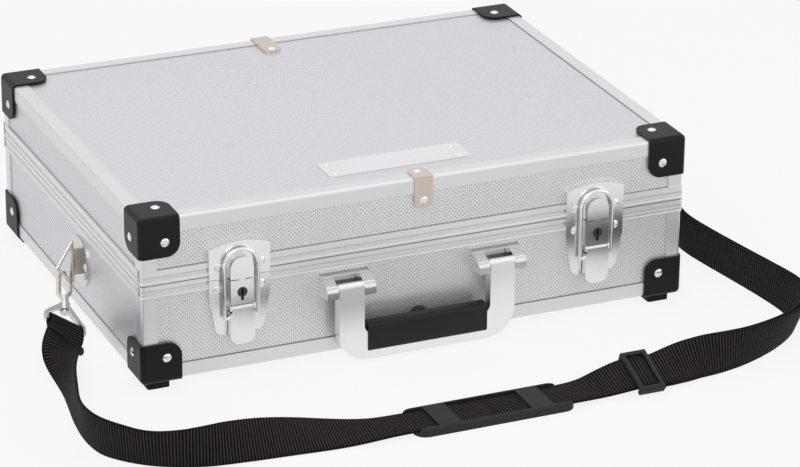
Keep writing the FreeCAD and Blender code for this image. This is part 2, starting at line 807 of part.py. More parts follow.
def make_lever(side, x):
    pivot_y = -board_half[1] - s.lever_pivot_stand
    pivot_z = parting - s.lever_pivot_drop
    barrel = s.lever_barrel_radius
    face_out = s.lever_pivot_stand + barrel
    half, neck = s.lever_width / 2, s.lever_neck_width / 2
    drop = -s.lever_pivot_drop
    top, tip = drop - s.lever_flange_start, drop - s.lever_reach
    outline = [(-half, top), (-half, tip), (half, tip), (half, top)]
    face = plate("XZ", [outline], s.lever_gauge, (x, s.lever_gauge - board_half[1] - face_out, parting))
    round_corners(face, "XZ", [outline[1], outline[2]], s.lever_tip_radius)
    neck_face = block(*front(x, (-neck, neck), (face_out - s.lever_gauge, face_out), (top - s.overrun, drop)))
    flange_out = (s.latch_plate_stand + s.lever_back_gap, face_out - s.lever_gauge / 2)
    flange_up = (drop - s.lever_flange_end, top)
    flanges = [
        block(*front(x, (-half, s.lever_gauge - half), flange_out, flange_up)),
        block(*front(x, (half - s.lever_gauge, half), flange_out, flange_up)),
    ]
    roll = rod((x - neck, pivot_y, pivot_z), "X", barrel, 2 * neck)
    pin_hole = rod((x - half, pivot_y, pivot_z), "X", s.lever_pin_radius + s.lever_pin_gap, 2 * half)
    bail_y, bail_z = -board_half[1] - s.bail_stand, parting - s.bail_pivot_drop
    bail_hole = rod((x - half - s.overrun, bail_y, bail_z), "X", s.bail_wire_radius + s.bail_stub_gap,
                    2 * (half + s.overrun))
    name(cut(fuse(face, neck_face, *flanges, roll), pin_hole, bail_hole), f"latch_lever_{side}")

    # wire bail: two legs, a half-round top and stubs that turn in through the lever's flanges
    wire, reach = s.bail_wire_radius, s.bail_half_width
    shoulder = parting + s.bail_top_rise - reach
    legs = [rod((x + sign * reach, bail_y, bail_z), "Z", wire, shoulder - bail_z) for sign in (-1, 1)]
    knees = [ball((x + sign * reach, bail_y, bail_z), wire) for sign in (-1, 1)]
    stub = reach - half + s.lever_gauge
    stubs = [
        rod((x - reach, bail_y, bail_z), "X", wire, stub),
        rod((x + reach - stub, bail_y, bail_z), "X", wire, stub),
    ]
    hoop = document.addObject("Part::Torus", "hoop")
    bind(hoop, "Radius1", reach)
    bind(hoop, "Radius2", wire)
    hoop.Angle3 = 180
    move(hoop, x, bail_y, shoulder, FreeCAD.Rotation(FreeCAD.Vector(1, 0, 0), 90))
    name(fuse(hoop, *legs, *knees, *stubs), f"latch_bail_{side}")


def make_latches():
    base_spots, lid_spots, pins = [], [], []
    for side, sign in (("left", -1), ("right", 1)):
        rivets, strikes, pin = make_latch(side, sign * latch_spread)
        base_spots += rivets
        lid_spots += strikes
        pins.append(pin)
    name(group(*pins), "latch_pins")
    return base_spots, lid_spots


def make_handle():
    pivot_y = -board_half[1] - s.handle_pivot_stand
    pivot_z = parting - s.handle_pivot_drop
    knuckle = s.handle_knuckle_radius
    nose = s.handle_pivot_stand + knuckle
    leg_half = s.bow_leg_width / 2
    slot_half = leg_half + s.bow_leg_gap
    half = s.bracket_width / 2
    top, bottom = -s.bracket_top_drop, -s.bracket_bottom_drop
    hood = top - s.bracket_hood_fall
    profile = [
        (0, top), (-s.handle_pivot_stand, hood), (-nose, hood - knuckle), (-nose, -s.bracket_nose_drop),
        (knuckle - nose, -s.bracket_nose_drop), (0, bottom),
    ]
    brackets, pins = [], []
    for sign in (-1, 1):
        x = sign * s.bracket_spread
        wedge = plate("YZ", [profile], s.bracket_width, (x - half, -board_half[1], parting))
        round_corners(wedge, "YZ", [profile[1], profile[2]], knuckle / 2)
        slot = block(*front(x, (-slot_half, slot_half), (s.bracket_web, nose + s.overrun),
                            (bottom - s.overrun, top + s.overrun)))
        hole = rod((x - half - s.overrun, pivot_y, pivot_z), "X", s.handle_pin_radius,
                   s.bracket_width + 2 * s.overrun)
        brackets.append(cut(wedge, slot, hole))
        proud = s.handle_pin_proud
        pins.append(rod((x - half - proud, pivot_y, pivot_z), "X", s.handle_pin_radius, s.bracket_width + 2 * proud))
    name(group(*brackets), "handle_brackets")
    name(group(*pins), "handle_pins")

    # the bow is a pressed channel, open at the back
    outer = s.bracket_spread + leg_half
    inner = s.bracket_spread - leg_half
    floor = s.bow_floor_gap - parting
    inset_floor = floor + s.bow_leg_width
    level = -s.handle_pivot_drop

    def bow(inset, top_level, out, depth):
        w, v = outer - inset, inner + inset
        low, mid = floor + inset, inset_floor - inset
        outline = [(-w, top_level), (-w, low), (w, low), (w, top_level), (v, top_level), (v, mid), (-v, mid), (-v, top_level)]
        body = plate("XZ", [outline], depth, (0, depth - board_half[1] - out, parting))
        round_corners(body, "XZ", [outline[1], outline[2]], s.bow_outer_radius - inset)
        round_corners(body, "XZ", [outline[5], outline[6]], s.bow_inner_radius + inset)
        return body

    channel = cut(
        bow(0, level, nose, s.bow_depth),
        bow(s.bow_wall, level - knuckle, nose - s.bow_wall, s.bow_depth))
    barrels, holes = [], []
    for sign in (-1, 1):
        x = sign * s.bracket_spread - leg_half
        barrels.append(rod((x, pivot_y, pivot_z), "X", knuckle, s.bow_leg_width))
        holes.append(rod((x - s.overrun, pivot_y, pivot_z), "X", s.handle_pin_radius + s.handle_pin_gap,
                         s.bow_leg_width + 2 * s.overrun))
    bow_solid = name(cut(fuse(channel, *barrels), *holes), "handle_bow")

    reach = s.grip_half_length
    grip_low = floor + s.grip_rise
    grip_high = grip_low + s.grip_height
    front_face = nose + s.grip_proud
    outline = [(-front_face, grip_low), (-front_face, grip_high), (s.grip_depth - front_face, grip_high),
               (s.grip_depth - front_face, grip_low)]
    grip = plate("YZ", [outline], 2 * reach, (-reach, -board_half[1], parting))
    round_corners(grip, "YZ", outline, s.grip_radius)
    space = bow(-s.grip_gap, level, nose, s.bow_depth + s.grip_gap)
    lining = bow(s.bow_wall + s.grip_gap, level - knuckle, nose - s.bow_wall - s.grip_gap, s.bow_depth + s.overrun)
    name(cut(grip, cut(space, lining)), "handle_grip")

    centre_z = s.bumper_rise
    puck = document.addObject("Part::Cylinder", "puck")
    bind(puck, "Radius", s.bumper_radius)
    bind(puck, "Height", s.bumper_height)
    move(puck, 0, -board_half[1], centre_z, turns["-Y"])
    document.recompute()
    rounded = document.addObject("Part::Fillet", "bumper_rounding")
    rounded.Base = puck
    rims = [(number, s.bumper_edge_radius.value, s.bumper_edge_radius.value)
            for number, edge in enumerate(puck.Shape.Edges, start=1)
            if edge.BoundBox.YMax < (-board_half[1] - s.bumper_height).value + tolerance and edge.Closed]
    rounded.Edges = rims
    name(rounded, "handle_bumper")
    return (0, -board_half[1] - s.bumper_height, centre_z)


def make_name_plate():
    half_x, half_y = s.name_plate_width / 2, s.name_plate_depth / 2
    corners = [(-half_x, -half_y), (half_x, -half_y), (half_x, half_y), (-half_x, half_y)]
    centre = (s.name_plate_x, s.name_plate_inset - s.case_depth / 2, board_top)
    body = plate("XY", [corners], s.name_plate_gauge, centre)
    round_corners(body, "XY", corners, s.name_plate_radius)
    name(body, "name_plate")
    spots = []
    for sign_x in (-1, 1):
        for sign_y in (-1, 1):
            spots.append((centre[0] + sign_x * s.name_plate_rivet_x, centre[1] + sign_y * s.name_plate_rivet_y,
                          board_top + s.name_plate_gauge))
    return spots


def make_clips():
    # bent strips over the lid's front and back edges, seated on profile and board
    solids, spots = [], []
    half, gauge = s.clip_width / 2, s.clip_gauge
    settings = (
        (-1, s.clip_front_x, s.clip_front_drop, s.clip_front_reach),
        (1, s.clip_back_x, s.clip_back_drop, s.clip_back_reach),
    )
    for sign, x, drop, reach in settings:
        out, wall = body_half[1] + gauge, board_half[1]

        def across(near, far):
            return (near, far) if sign > 0 else (-far, -near)

        inset = s.clip_rivet_inset
        down_end = [(-half, -drop - inset), (half, -drop - inset)]
        down_leg = plate("XZ", [[*down_end, (half, gauge), (-half, gauge)]], out - wall,
                         (x, -wall if sign < 0 else out, body_top))
        round_corners(down_leg, "XZ", down_end, inset - gauge / 2)
        tail = out - reach - inset
        top_end = [(-half, sign * tail), (half, sign * tail)]
        top_leg = plate("XY", [[*top_end, (half, sign * out), (-half, sign * out)]], body_top + gauge - board_top,
                        (x, 0, board_top))
        round_corners(top_leg, "XY", top_end, inset - gauge / 2)
        profile = fuse(
            block((x - half - s.overrun, x + half + s.overrun), across(wall, body_half[1]),
                  (body_top - s.edge_leg, body_top)),
            block((x - half - s.overrun, x + half + s.overrun), across(body_half[1] - s.edge_leg, body_half[1]),
                  (board_top, body_top)),
            block((x - half - s.overrun, x + half + s.overrun), across(wall - s.edge_leg, wall),
                  (board_top - s.overrun, board_top)))
        solids.append(cut(fuse(down_leg, top_leg), profile))
        spots.append((x, sign * (out - reach), body_top + gauge, "Z"))
        spots.append((x, sign * out, body_top - drop, "Y" if sign > 0 else "-Y"))
    name(group(*solids), "edge_clips")
    return spots


def make_rivets(latch_spots, strike_spots, plate_spots, clip_spots, bumper_spot):
    radius, rise = s.rivet_radius, s.rivet_rise
    low = cap_rivets(cap_bottom, 1)
    high = cap_rivets(cap_top, -1)
    inset = s.cap_rivet_inset
    high.append(dome((inset - s.case_width / 2, inset - s.case_depth / 2, cap_top), "Z", radius, rise))
    base_rivets, lid_rivets = [], []
    for item in low:
        base_rivets += four_corners(item)
    for item in high:
        lid_rivets += four_corners(item)
    for spot in latch_spots:
        base_rivets.append(dome(spot, "-Y", radius, rise))
    base_rivets.append(dome(bumper_spot, "-Y", radius, rise))
    for spot in strike_spots:
        lid_rivets.append(dome(spot, "-Y", radius, rise))
    for x, y, z, direction in clip_spots:
        lid_rivets.append(dome((x, y, z), direction, radius, rise))
    leaf_y = board_half[1] + rim_proud + s.hinge_leaf_stand
    for side in (-1, 1):
        for end in (-1, 1):
            x = side * hinge_spread + end * s.hinge_rivet_spread
            base_rivets.append(dome((x, leaf_y, parting - s.hinge_rivet_drop), "Y", radius, rise))
            lid_rivets.append(dome((x, leaf_y, parting + s.hinge_rivet_drop), "Y", radius, rise))
            ring_face = board_half[0] + s.ring_plate_gauge
            y = s.ring_y + end * s.ring_rivet_spread
            direction = "-X" if side < 0 else "X"
            base_rivets.append(dome((side * ring_face, y, ring_level), direction, radius, rise))
    name(group(*base_rivets), "base_rivets")
    name(group(*lid_rivets), "lid_rivets")
    name(group(*[dome(spot, "Z", s.small_rivet_radius, s.small_rivet_rise) for spot in plate_spots]),
         "name_plate_rivets")


def make_ring_brackets():
    # an oval plate on each side board with an upright tube for the ring
    mid = ring_level
    face = board_half[0]
    radius = s.ring_plate_height / 2
    offset = s.ring_plate_width / 2 - radius
    axis_x = face + s.ring_axis_stand
    solids = []
    for sign in (-1, 1):
        direction = "-X" if sign < 0 else "X"
        discs = [rod((sign * face, s.ring_y + end * offset, mid), direction, radius, s.ring_plate_gauge)
                 for end in (-1, 1)]
        length, tube = s.ring_tube_length, s.ring_tube_radius
        barrel = rod((sign * axis_x, s.ring_y, mid - length / 2), "Z", tube, length)
        near, far = face + s.ring_plate_gauge / 2, axis_x
        span = (near, far) if sign > 0 else (-far, -near)
        web = block(span, (s.ring_y - tube / 2, s.ring_y + tube / 2), (mid - length / 2, mid + length / 2))
        bore = rod((sign * axis_x, s.ring_y, mid - length / 2 - s.overrun), "Z",
                   s.ring_wire_radius + s.ring_tube_gap, length + 2 * s.overrun)
        solids.append(cut(fuse(*discs, web, barrel), bore))
    name(group(*solids), "ring_brackets")


def from_angles(heading, dip, spin):
    # turns local Z to a direction given by its heading and dip, then spins about it
    turn = FreeCAD.Rotation(FreeCAD.Vector(0, 0, 1), heading)
    turn = turn * FreeCAD.Rotation(FreeCAD.Vector(0, 1, 0), quarter_turn + dip)
    return turn * FreeCAD.Rotation(FreeCAD.Vector(0, 0, 1), quarter_turn + spin)


quarter_turn = 90


def make_ring_and_hook(side, sign, swing, heading, roll, eye_roll):
    mid = ring_level
    axis_x = sign * (board_half[0] + s.ring_axis_stand)
    radians = math.radians(swing.value)
    out = FreeCAD.Vector(sign * math.cos(radians), -math.sin(radians), 0)
    wire, half, throw = s.ring_wire_radius.value, s.ring_length.value / 2, s.ring_throw.value
    centre = FreeCAD.Vector(axis_x.value, s.ring_y.value, mid.value)
    up = FreeCAD.Vector(0, 0, 1)
    corners = [centre - up * half, centre + out * throw, centre + up * half]
    pieces = []
    for start, end in zip(corners, corners[1:] + corners[:1]):
        pieces.append(Part.makeCylinder(wire, (end - start).Length, start, end - start))
        pieces.append(Part.makeSphere(wire, start))
    ring = document.addObject("Part::Feature", "ring")
    ring.Shape = pieces[0].multiFuse(pieces[1:]).removeSplitter()
    name(ring, f"strap_ring_{side}")

    share = s.hook_seat_share.value
    seat = corners[0] + (corners[1] - corners[0]) * share
    turn = from_angles(heading.value, s.hook_dip.value, roll.value)
    jaw, arm, thick = s.hook_jaw_radius, s.hook_arm, s.hook_thickness
    near = jaw - s.ring_wire_radius - s.hook_wire_gap
    far = near + s.hook_straight
    outer = jaw + arm

    def slab(radius, depth, low, high):
        return fuse(
            rod((0, -depth / 2, low), "Y", radius, depth),
            rod((0, -depth / 2, high), "Y", radius, depth),
            block((-radius, radius), (-depth / 2, depth / 2), (low, high)))

    gate_end = s.gate_start + s.gate_length
    opening = block((jaw - s.overrun / 2, outer + s.overrun), (-thick, thick), (s.gate_start, gate_end))
    neck_start = far + outer - arm / 2
    neck_end = far + outer + s.hook_neck_length
    collar_end = neck_end + s.hook_play + s.eye_collar_length
    neck = rod((0, 0, neck_start), "Z", s.hook_neck_radius, neck_end - neck_start)
    pin = rod((0, 0, neck_start), "Z", s.hook_pin_radius, collar_end + s.hook_play - neck_start)
    head = rod((0, 0, collar_end + s.hook_play), "Z", s.hook_head_radius, s.hook_head_length)
    hook = fuse(cut(slab(outer, thick, near, far), slab(jaw, 2 * thick, near, far), opening), neck, pin, head)
    place(name(hook, f"strap_hook_{side}"), seat, turn)

    gap = s.gate_gap
    across = (jaw + (arm - s.gate_thickness) / 2, jaw + (arm + s.gate_thickness) / 2)
    gate_half = thick / 2
    knuckle = s.gate_thickness / 2
    gate = fuse(
        block(across, (-gate_half, gate_half), (s.gate_start + gap, gate_end - gap - knuckle)),
        rod((jaw + arm / 2, -gate_half, gate_end - gap - knuckle), "Y", knuckle, thick))
    place(name(gate, f"hook_gate_{side}"), seat, turn)

    eye_turn = from_angles(heading.value, s.hook_dip.value, roll.value + eye_roll.value)
    start = neck_end + s.hook_play
    window_start = collar_end + s.hook_play
    window, rail = s.eye_window_half, s.eye_rail
    shoulder = window_start + s.eye_shoulder
    slot_end = shoulder + s.eye_slot
    collar = s.eye_collar_radius
    frame_outline = [
        (-collar, start + s.overrun), (collar, start + s.overrun), (window + rail, shoulder - s.overrun),
        (window + rail, slot_end + s.eye_bar), (-window - rail, slot_end + s.eye_bar), (-window - rail, shoulder - s.overrun),
    ]
    inner = s.hook_head_radius + s.hook_wire_gap
    window_outline = [
        (-inner, window_start), (-window, shoulder), (-window, slot_end), (window, slot_end), (window, shoulder),
        (inner, window_start),
    ]
    # the eye is drawn flat on XZ, so it grows towards -Y from its own back
    loop = plate("XZ", [frame_outline, window_outline], s.eye_thickness, (0, s.eye_thickness / 2, 0))
    sleeve = rod((0, 0, start), "Z", collar, collar_end - start)
    head_room = rod((0, 0, collar_end), "Z", s.hook_head_radius + s.hook_wire_gap,
                    s.hook_head_length + 2 * s.hook_play)
    bore = rod((0, 0, start - s.overrun), "Z", s.hook_pin_radius + s.hook_pin_gap,
               collar_end - start + 2 * s.overrun)
    eye = cut(fuse(loop, sleeve), bore, head_room)
    place(name(eye, f"hook_eye_{side}"), seat, eye_turn)
    return slot_end + s.eye_bar / 2


def place(item, seat, turn):
    item.Placement = FreeCAD.Placement(seat, turn)
    return item


# route of the webbing from the left eye to the right one, as it lies on the floor:
# x, y, z of its middle line, and the lean of its width from flat (0) to on edge (90)
webbing_route = [
    (-235.8, -66.0, 18.8, -39),
    (-237.1, -70.0, 16.7, -39),
    (-239.9, -77.5, 15.3, -35),
    (-246.0, -93.5, 14.5, -20),
    (-252.5, -113.0, 14.3, 8),
    (-257.5, -132.0, 14.5, 38),
    (-262.3, -153.0, 14.7, 65),
    (-267.7, -177.0, 15.0, 84),
    (-272.2, -203.0, 15.0, 92),
    (-272.0, -221.0, 14.9, 97),
    (-267.9, -235.5, 14.7, 102),
    (-258.5, -249.0, 14.5, 105),
    (-243.0, -261.5, 14.5, 104),
    (-224.8, -269.8, 14.7, 98),
    (-208.0, -273.2, 15.0, 86),
    (-190.0, -272.7, 14.3, 70),
    (-172.5, -271.4, 12.6, 55),
    (-155.0, -270.4, 10.6, 42),
    (-138.0, -270.4, 8.6, 31),
    (-121.0, -271.2, 6.6, 21),
    (-104.0, -272.2, 5.1, 12),
    (-88.0, -272.6, 4.3, 4),
    (-74.0, -272.6, 4.1, 0),
    (-40.0, -272.6, 4.1, 0),
    (0.0, -272.6, 4.1, 0),
    (40.0, -272.6, 4.1, 0),
    (72.0, -272.6, 4.1, 0),
    (88.0, -272.8, 7.2, 12),
    (104.5, -273.0, 10.3, 21),
    (118.0, -273.0, 10.5, 21),
    (131.5, -273.0, 10.5, 21),
    (145.0, -273.0, 12.4, 36),
    (158.0, -273.8, 14.2, 56),
    (170.0, -274.7, 15.1, 73),
    (184.0, -275.2, 15.3, 87),
    (204.0, -271.8, 15.0, 97),
    (228.0, -262.9, 14.7, 104),
    (250.0, -251.3, 14.2, 110),
    (267.5, -236.5, 14.1, 111),
    (277.0, -220.5, 14.3, 108),
    (278.8, -203.0, 14.6, 102),
    (274.2, -177.0, 15.0, 95),
    (268.2, -145.5, 15.0, 91),
    (262.3, -114.0, 15.0, 90),
    (257.9, -86.0, 15.3, 90),
    (257.0, -72.0, 15.6, 90),
    (257.9, -62.0, 15.9, 90),
    (256.9, -55.6, 16.8, 90),
    (254.2, -52.8, 18.8, 90),
]
# the inner layer, from the right eye back to the middle bar of the slider
return_route = [
    (252.6, -54.8, 18.6, 90),
    (254.9, -57.2, 16.8, 90),
    (255.3, -62.4, 15.9, 90),
    (254.4, -72.1, 15.6, 90),
    (255.3, -86.3, 15.3, 90),
    (259.7, -114.4, 15.0, 90),
    (265.6, -145.9, 15.0, 89),
    (271.6, -177.5, 15.0, 86),
    (276.0, -203.2, 14.7, 79),
    (274.0, -219.4, 14.5, 73),
    (265.0, -234.6, 14.3, 70),
    (248.3, -248.8, 14.3, 70),
    (226.7, -260.4, 14.7, 76),
    (203.2, -269.0, 15.0, 83),
    (183.9, -272.5, 15.2, 93),
    (170.2, -272.2, 14.4, 107),
    (158.2, -271.8, 12.9, 124),
    (145.2, -271.6, 10.5, 144),
    (131.5, -272.1, 8.1, 159),
    (121.9, -272.1, 8.1, 159),
]


def ribbon(route, label):
    # a flat band through rectangles that stand square to the route
    points = [FreeCAD.Vector(x, y, z) for x, y, z, lean in route]
    half, thick = s.webbing_width.value / 2, s.webbing_thickness.value / 2
    sections = []
    for index, (x, y, z, lean) in enumerate(route):
        before = points[max(index - 1, 0)]
        after = points[min(index + 1, len(points) - 1)]
        along = (after - before).normalize()
        side = FreeCAD.Vector(0, 0, 1).cross(along).normalize()
        up = along.cross(side)
        angle = math.radians(lean)
        across = side * math.cos(angle) + up * math.sin(angle)
        face = along.cross(across)
        corners = [points[index] + across * (half * a) + face * (thick * b)
                   for a, b in ((-1, -1), (1, -1), (1, 1), (-1, 1), (-1, -1))]
        sections.append(Part.makePolygon(corners))
    solid = Part.makeLoft(sections, True, True)
    item = document.addObject("Part::Feature", "ribbon")
    item.Shape = solid
    length = sum((b - a).Length for a, b in zip(points, points[1:]))
    print(f"{label}: {length:.0f} mm along its middle line")
    for before, here, after in zip(points, points[1:], points[2:]):
        turn = math.degrees((here - before).getAngle(after - here))
        shorter = min((here - before).Length, (after - here).Length)
        if turn > gentle_turn:
            radius = share_of_run * shorter / math.tan(math.radians(turn / 2))
            print(f"  turn of {turn:.0f} degrees at x {here.x:.0f}, y {here.y:.0f}: radius {radius:.0f} mm")
    return name(item, label)


gentle_turn = 8
share_of_run = 0.45


def make_strap():
    ribbon(webbing_route, "strap_webbing")
    ribbon(return_route, "strap_return")
    half_x, half_y = s.pad_length / 2, s.pad_width / 2
    corners = [(-half_x, -half_y), (half_x, -half_y), (half_x, half_y), (-half_x, half_y)]
    slab = plate("XY", [corners], s.pad_height, (0, s.pad_y, 0))
    round_corners(slab, "XY", corners, s.pad_corner_radius)
    top = s.pad_height.value

    def top_edge(box):
        return box.ZMin > top - tolerance

    round_edges(slab, top_edge, s.pad_edge_radius)
    channel_half = s.pad_channel / 2
    across = (s.pad_y - channel_half, s.pad_y + channel_half)
    roof = s.pad_floor + s.pad_channel_height
    long_x = (-half_x - s.overrun, half_x + s.overrun)
    tunnel = block(long_x, across, (s.pad_floor, roof))
    bar_half = s.pad_bar_length / 2
    spread = s.pad_bar_spread
    above = (roof - s.overrun, s.pad_height + s.overrun)
    windows = [
        block((-half_x - s.overrun, -spread - bar_half), across, above),
        block((bar_half - spread, spread - bar_half), across, above),
        block((spread + bar_half, half_x + s.overrun), across, above),
    ]
    name(cut(slab, tunnel, *windows), "shoulder_pad")

    rail, bar, gauge = s.slider_rail, s.slider_bar, s.slider_bar_gauge
    window = s.pad_channel / 2
    half = s.slider_length / 2
    channel = s.slider_channel / 2
    low, high = -channel - gauge, channel + gauge
    rails = [
        block((-half, half), (-window - rail, -window), (low, high)),
        block((-half, half), (window, window + rail), (low, high)),
    ]
    reach = (-window - rail, window + rail)
    bars = [
        block((-half, bar - half), reach, (channel, high)),
        block((half - bar, half), reach, (channel, high)),
        block((-bar / 2, bar / 2), reach, (low, -channel)),
    ]
    frame = name(fuse(*rails, *bars), "strap_slider")
    centre = FreeCAD.Vector(s.slider_x.value, s.slider_y.value, s.slider_z.value)
    place(frame, centre, FreeCAD.Rotation(FreeCAD.Vector(1, 0, 0), s.slider_tilt.value))


make_case()
make_hinges()
latch_spots, strike_spots = make_latches()
bumper_spot = make_handle()
plate_spots = make_name_plate()
clip_spots = make_clips()
make_rivets(latch_spots, strike_spots, plate_spots, clip_spots, bumper_spot)
make_ring_brackets()
make_ring_and_hook("left", -1, s.ring_swing_left, s.hook_heading_left, s.hook_roll_left, s.eye_roll_left)
make_ring_and_hook("right", 1, s.ring_swing_right, s.hook_heading_right, s.hook_roll_right, s.eye_roll_right)
make_strap()
document.recompute()

for item in document.Objects:
    if "Invalid" in item.State or "Error" in item.State:
        raise RuntimeError(f"{item.Label} failed: {item.State}")
os.makedirs("parts", exist_ok=True)
for item in subparts:
    shape = item.Shape
    if shape.isNull() or not shape.isValid() or not shape.Solids:
        raise RuntimeError(f"{item.Label} has no valid solid")
for item in subparts:
    item.Shape.exportStep(f"parts/{item.Label}.step")
    print(f"{item.Label}: {len(item.Shape.Solids)} solids, {item.Shape.Volume:.0f} mm3")
print(f"{len(subparts)} sub-parts")
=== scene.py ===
# Aluminium tool case with its shoulder strap: the finish, the strap's cloth, the light and the camera.
import json
import math

import bmesh
import bpy
from mathutils import Matrix, Vector


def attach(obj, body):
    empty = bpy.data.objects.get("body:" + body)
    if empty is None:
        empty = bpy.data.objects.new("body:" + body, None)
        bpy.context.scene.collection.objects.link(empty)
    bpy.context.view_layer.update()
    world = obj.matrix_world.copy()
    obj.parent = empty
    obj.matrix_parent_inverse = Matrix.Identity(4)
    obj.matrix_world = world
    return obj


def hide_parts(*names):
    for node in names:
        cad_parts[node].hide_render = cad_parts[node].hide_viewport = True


print("loading the packed case")
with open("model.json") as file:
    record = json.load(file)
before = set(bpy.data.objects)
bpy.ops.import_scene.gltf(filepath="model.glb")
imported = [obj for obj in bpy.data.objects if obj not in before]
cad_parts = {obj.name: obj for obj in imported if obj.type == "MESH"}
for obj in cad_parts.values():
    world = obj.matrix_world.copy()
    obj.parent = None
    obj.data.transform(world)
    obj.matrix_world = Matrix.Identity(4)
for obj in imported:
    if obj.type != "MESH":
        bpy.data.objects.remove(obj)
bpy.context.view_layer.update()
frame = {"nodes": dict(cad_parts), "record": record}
mm = 0.001
# shiftY: how far the middle of the case lies behind the frame's origin; lockX: each lock's distance from it
case = {"shiftY": 5.4, "parting": 81.5, "lockX": 137.0}


def place(x, y, z):
    # millimetres measured from the middle of the case, as the source gives them
    return Vector((x, y + case["shiftY"], z)) * mm


def show(name, data):
    # a new object with this data, in the scene
    made = bpy.data.objects.new(name, data)
    bpy.context.scene.collection.objects.link(made)
    return made


class Wire:
    # a socket's value in a material, which can be written in sums
    def __init__(self, tree, socket):
        self.tree = tree
        self.socket = socket

    def node(self, kind, settings=None, values=None, outlet=0):
        made = self.tree.nodes.new(kind)
        for key, value in (settings or {}).items():
            setattr(made, key, value)
        for key, value in (values or {}).items():
            if isinstance(value, Wire):
                self.tree.links.new(value.socket, made.inputs[key])
            elif value is not None:
                made.inputs[key].default_value = value
        return Wire(self.tree, made.outputs[outlet])

    def sum(self, operation, *others):
        values = {number: other for number, other in enumerate(others)}
        return self.node("ShaderNodeMath", {"operation": operation}, values)

    def __add__(self, other):
        return self.sum("ADD", self, other)

    def __radd__(self, other):
        return self.sum("ADD", other, self)

    def __sub__(self, other):
        return self.sum("SUBTRACT", self, other)

    def __rsub__(self, other):
        return self.sum("SUBTRACT", other, self)

    def __mul__(self, other):
        return self.sum("MULTIPLY", self, other)

    def __rmul__(self, other):
        return self.sum("MULTIPLY", other, self)

    def __neg__(self):
        return self.sum("MULTIPLY", self, -1.0)

    def __abs__(self):
        return self.sum("ABSOLUTE", self)

    def cos(self):
        return self.sum("COSINE", self)

    def least(self, other):
        return self.sum("MINIMUM", self, other)

    def step(self, low, high):
        # 0 below low, 1 above high, smooth between
        settings = {"interpolation_type": "SMOOTHSTEP"}
        return self.node("ShaderNodeMapRange", settings, {"Value": self, "From Min": low, "From Max": high})

    def inside(self, low, high, soft):
        return self.step(low - soft, low + soft) * (1 - self.step(high - soft, high + soft))

    def between(self, first, second):
        # a colour from first to second by this value
        values = {0: self, 6: (*first, 1) if isinstance(first, tuple) else first, 7: (*second, 1)}
        return self.node("ShaderNodeMix", {"data_type": "RGBA"}, values, 2)

    def part(self, letter):
        return self.node("ShaderNodeSeparateXYZ", None, {0: self}, "XYZ".index(letter))

    def millimetres(self, letter):
        return self.part(letter) * 1000.0

    def noise(self, scale, detail=2.0, roughness=0.5, stretch=(1, 1, 1)):
        turned = self.node("ShaderNodeMapping", None, {"Vector": self, "Scale": stretch})
        values = {"Vector": turned, "Scale": scale, "Detail": detail, "Roughness": roughness}
        return self.node("ShaderNodeTexNoise", None, values)


def newMaterial(name, colour, build, metallic=0.0, roughness=0.5, **sockets):
    # a Principled material; build gives what varies: colour, roughness, and height with its depth in metres
    material = bpy.data.materials.new(name)
    material.use_nodes = True
    material.diffuse_color = (*colour, 1)
    tree = material.node_tree
    tree.nodes.clear()
    coordinates = Wire(tree, tree.nodes.new("ShaderNodeTexCoord").outputs["Object"])
    uv = Wire(tree, coordinates.socket.node.outputs["UV"])
    varied = build(coordinates, uv)
    values = {"Metallic": metallic, "Base Color": varied["colour"]}
    values["Roughness"] = varied.get("roughness", roughness)
    values.update({key.replace("_", " "): value for key, value in sockets.items()})
    bump = {"Height": varied["height"], "Distance": varied["depth"], "Strength": varied.get("strength", 1.0)}
    values["Normal"] = coordinates.node("ShaderNodeBump", None, bump)
    shader = coordinates.node("ShaderNodeBsdfPrincipled", None, values)
    output = tree.nodes.new("ShaderNodeOutputMaterial")
    tree.links.new(shader.socket, output.inputs["Surface"])
    return material


def seamShadowAt(value, where, half):
    # a thin line of painted shadow where one piece stands over another, by a length in millimetres
    return 1 - abs(value - where).step(half * 0.5, half * 1.5)


# painted shadow lines where profiles and boards meet, under the profiles' raised edges: heights with the line's
# half width, and distances to both sides of a middle
seamShadows = {
    "heights": ((19.2, 0.45), (71.8, 0.25), (92.2, 0.3), (118.8, 0.25)),
    "edges": {"X": (197.2, 0.0), "Y": (142.2, case["shiftY"])},
    "edgeHalf": 0.3,
    "share": 0.8,
    "colour": (0.10, 0.10, 0.12),
}


def seamShadowsAlong(at, letter):
    value = at.millimetres(letter)
    if letter != "Z":
        far, middle = seamShadows["edges"][letter]
        return seamShadowAt(abs(value - middle), far, seamShadows["edgeHalf"])
    lines = [seamShadowAt(value, where, half) for where, half in seamShadows["heights"]]
    return lines[0] + lines[1] + lines[2] + lines[3]


# the embossed aluminium sheet of the boards: the lattice, each dot a bump whose colour is also painted darker as
# the embossing's shade, the cloud and the grain over it, and painted shadow lines beside the profiles
lattice = {
    "pitch": 2.186, "depth": 0.22, "strength": 0.8, "dotLow": -0.1, "dotHigh": 1.5,
    "cloud": 9.0, "cloudShare": 0.16, "grain": 700.0, "grainShare": 0.10,
    "rough": 0.30, "cloudRough": 0.12, "dotRough": 0.10,
}


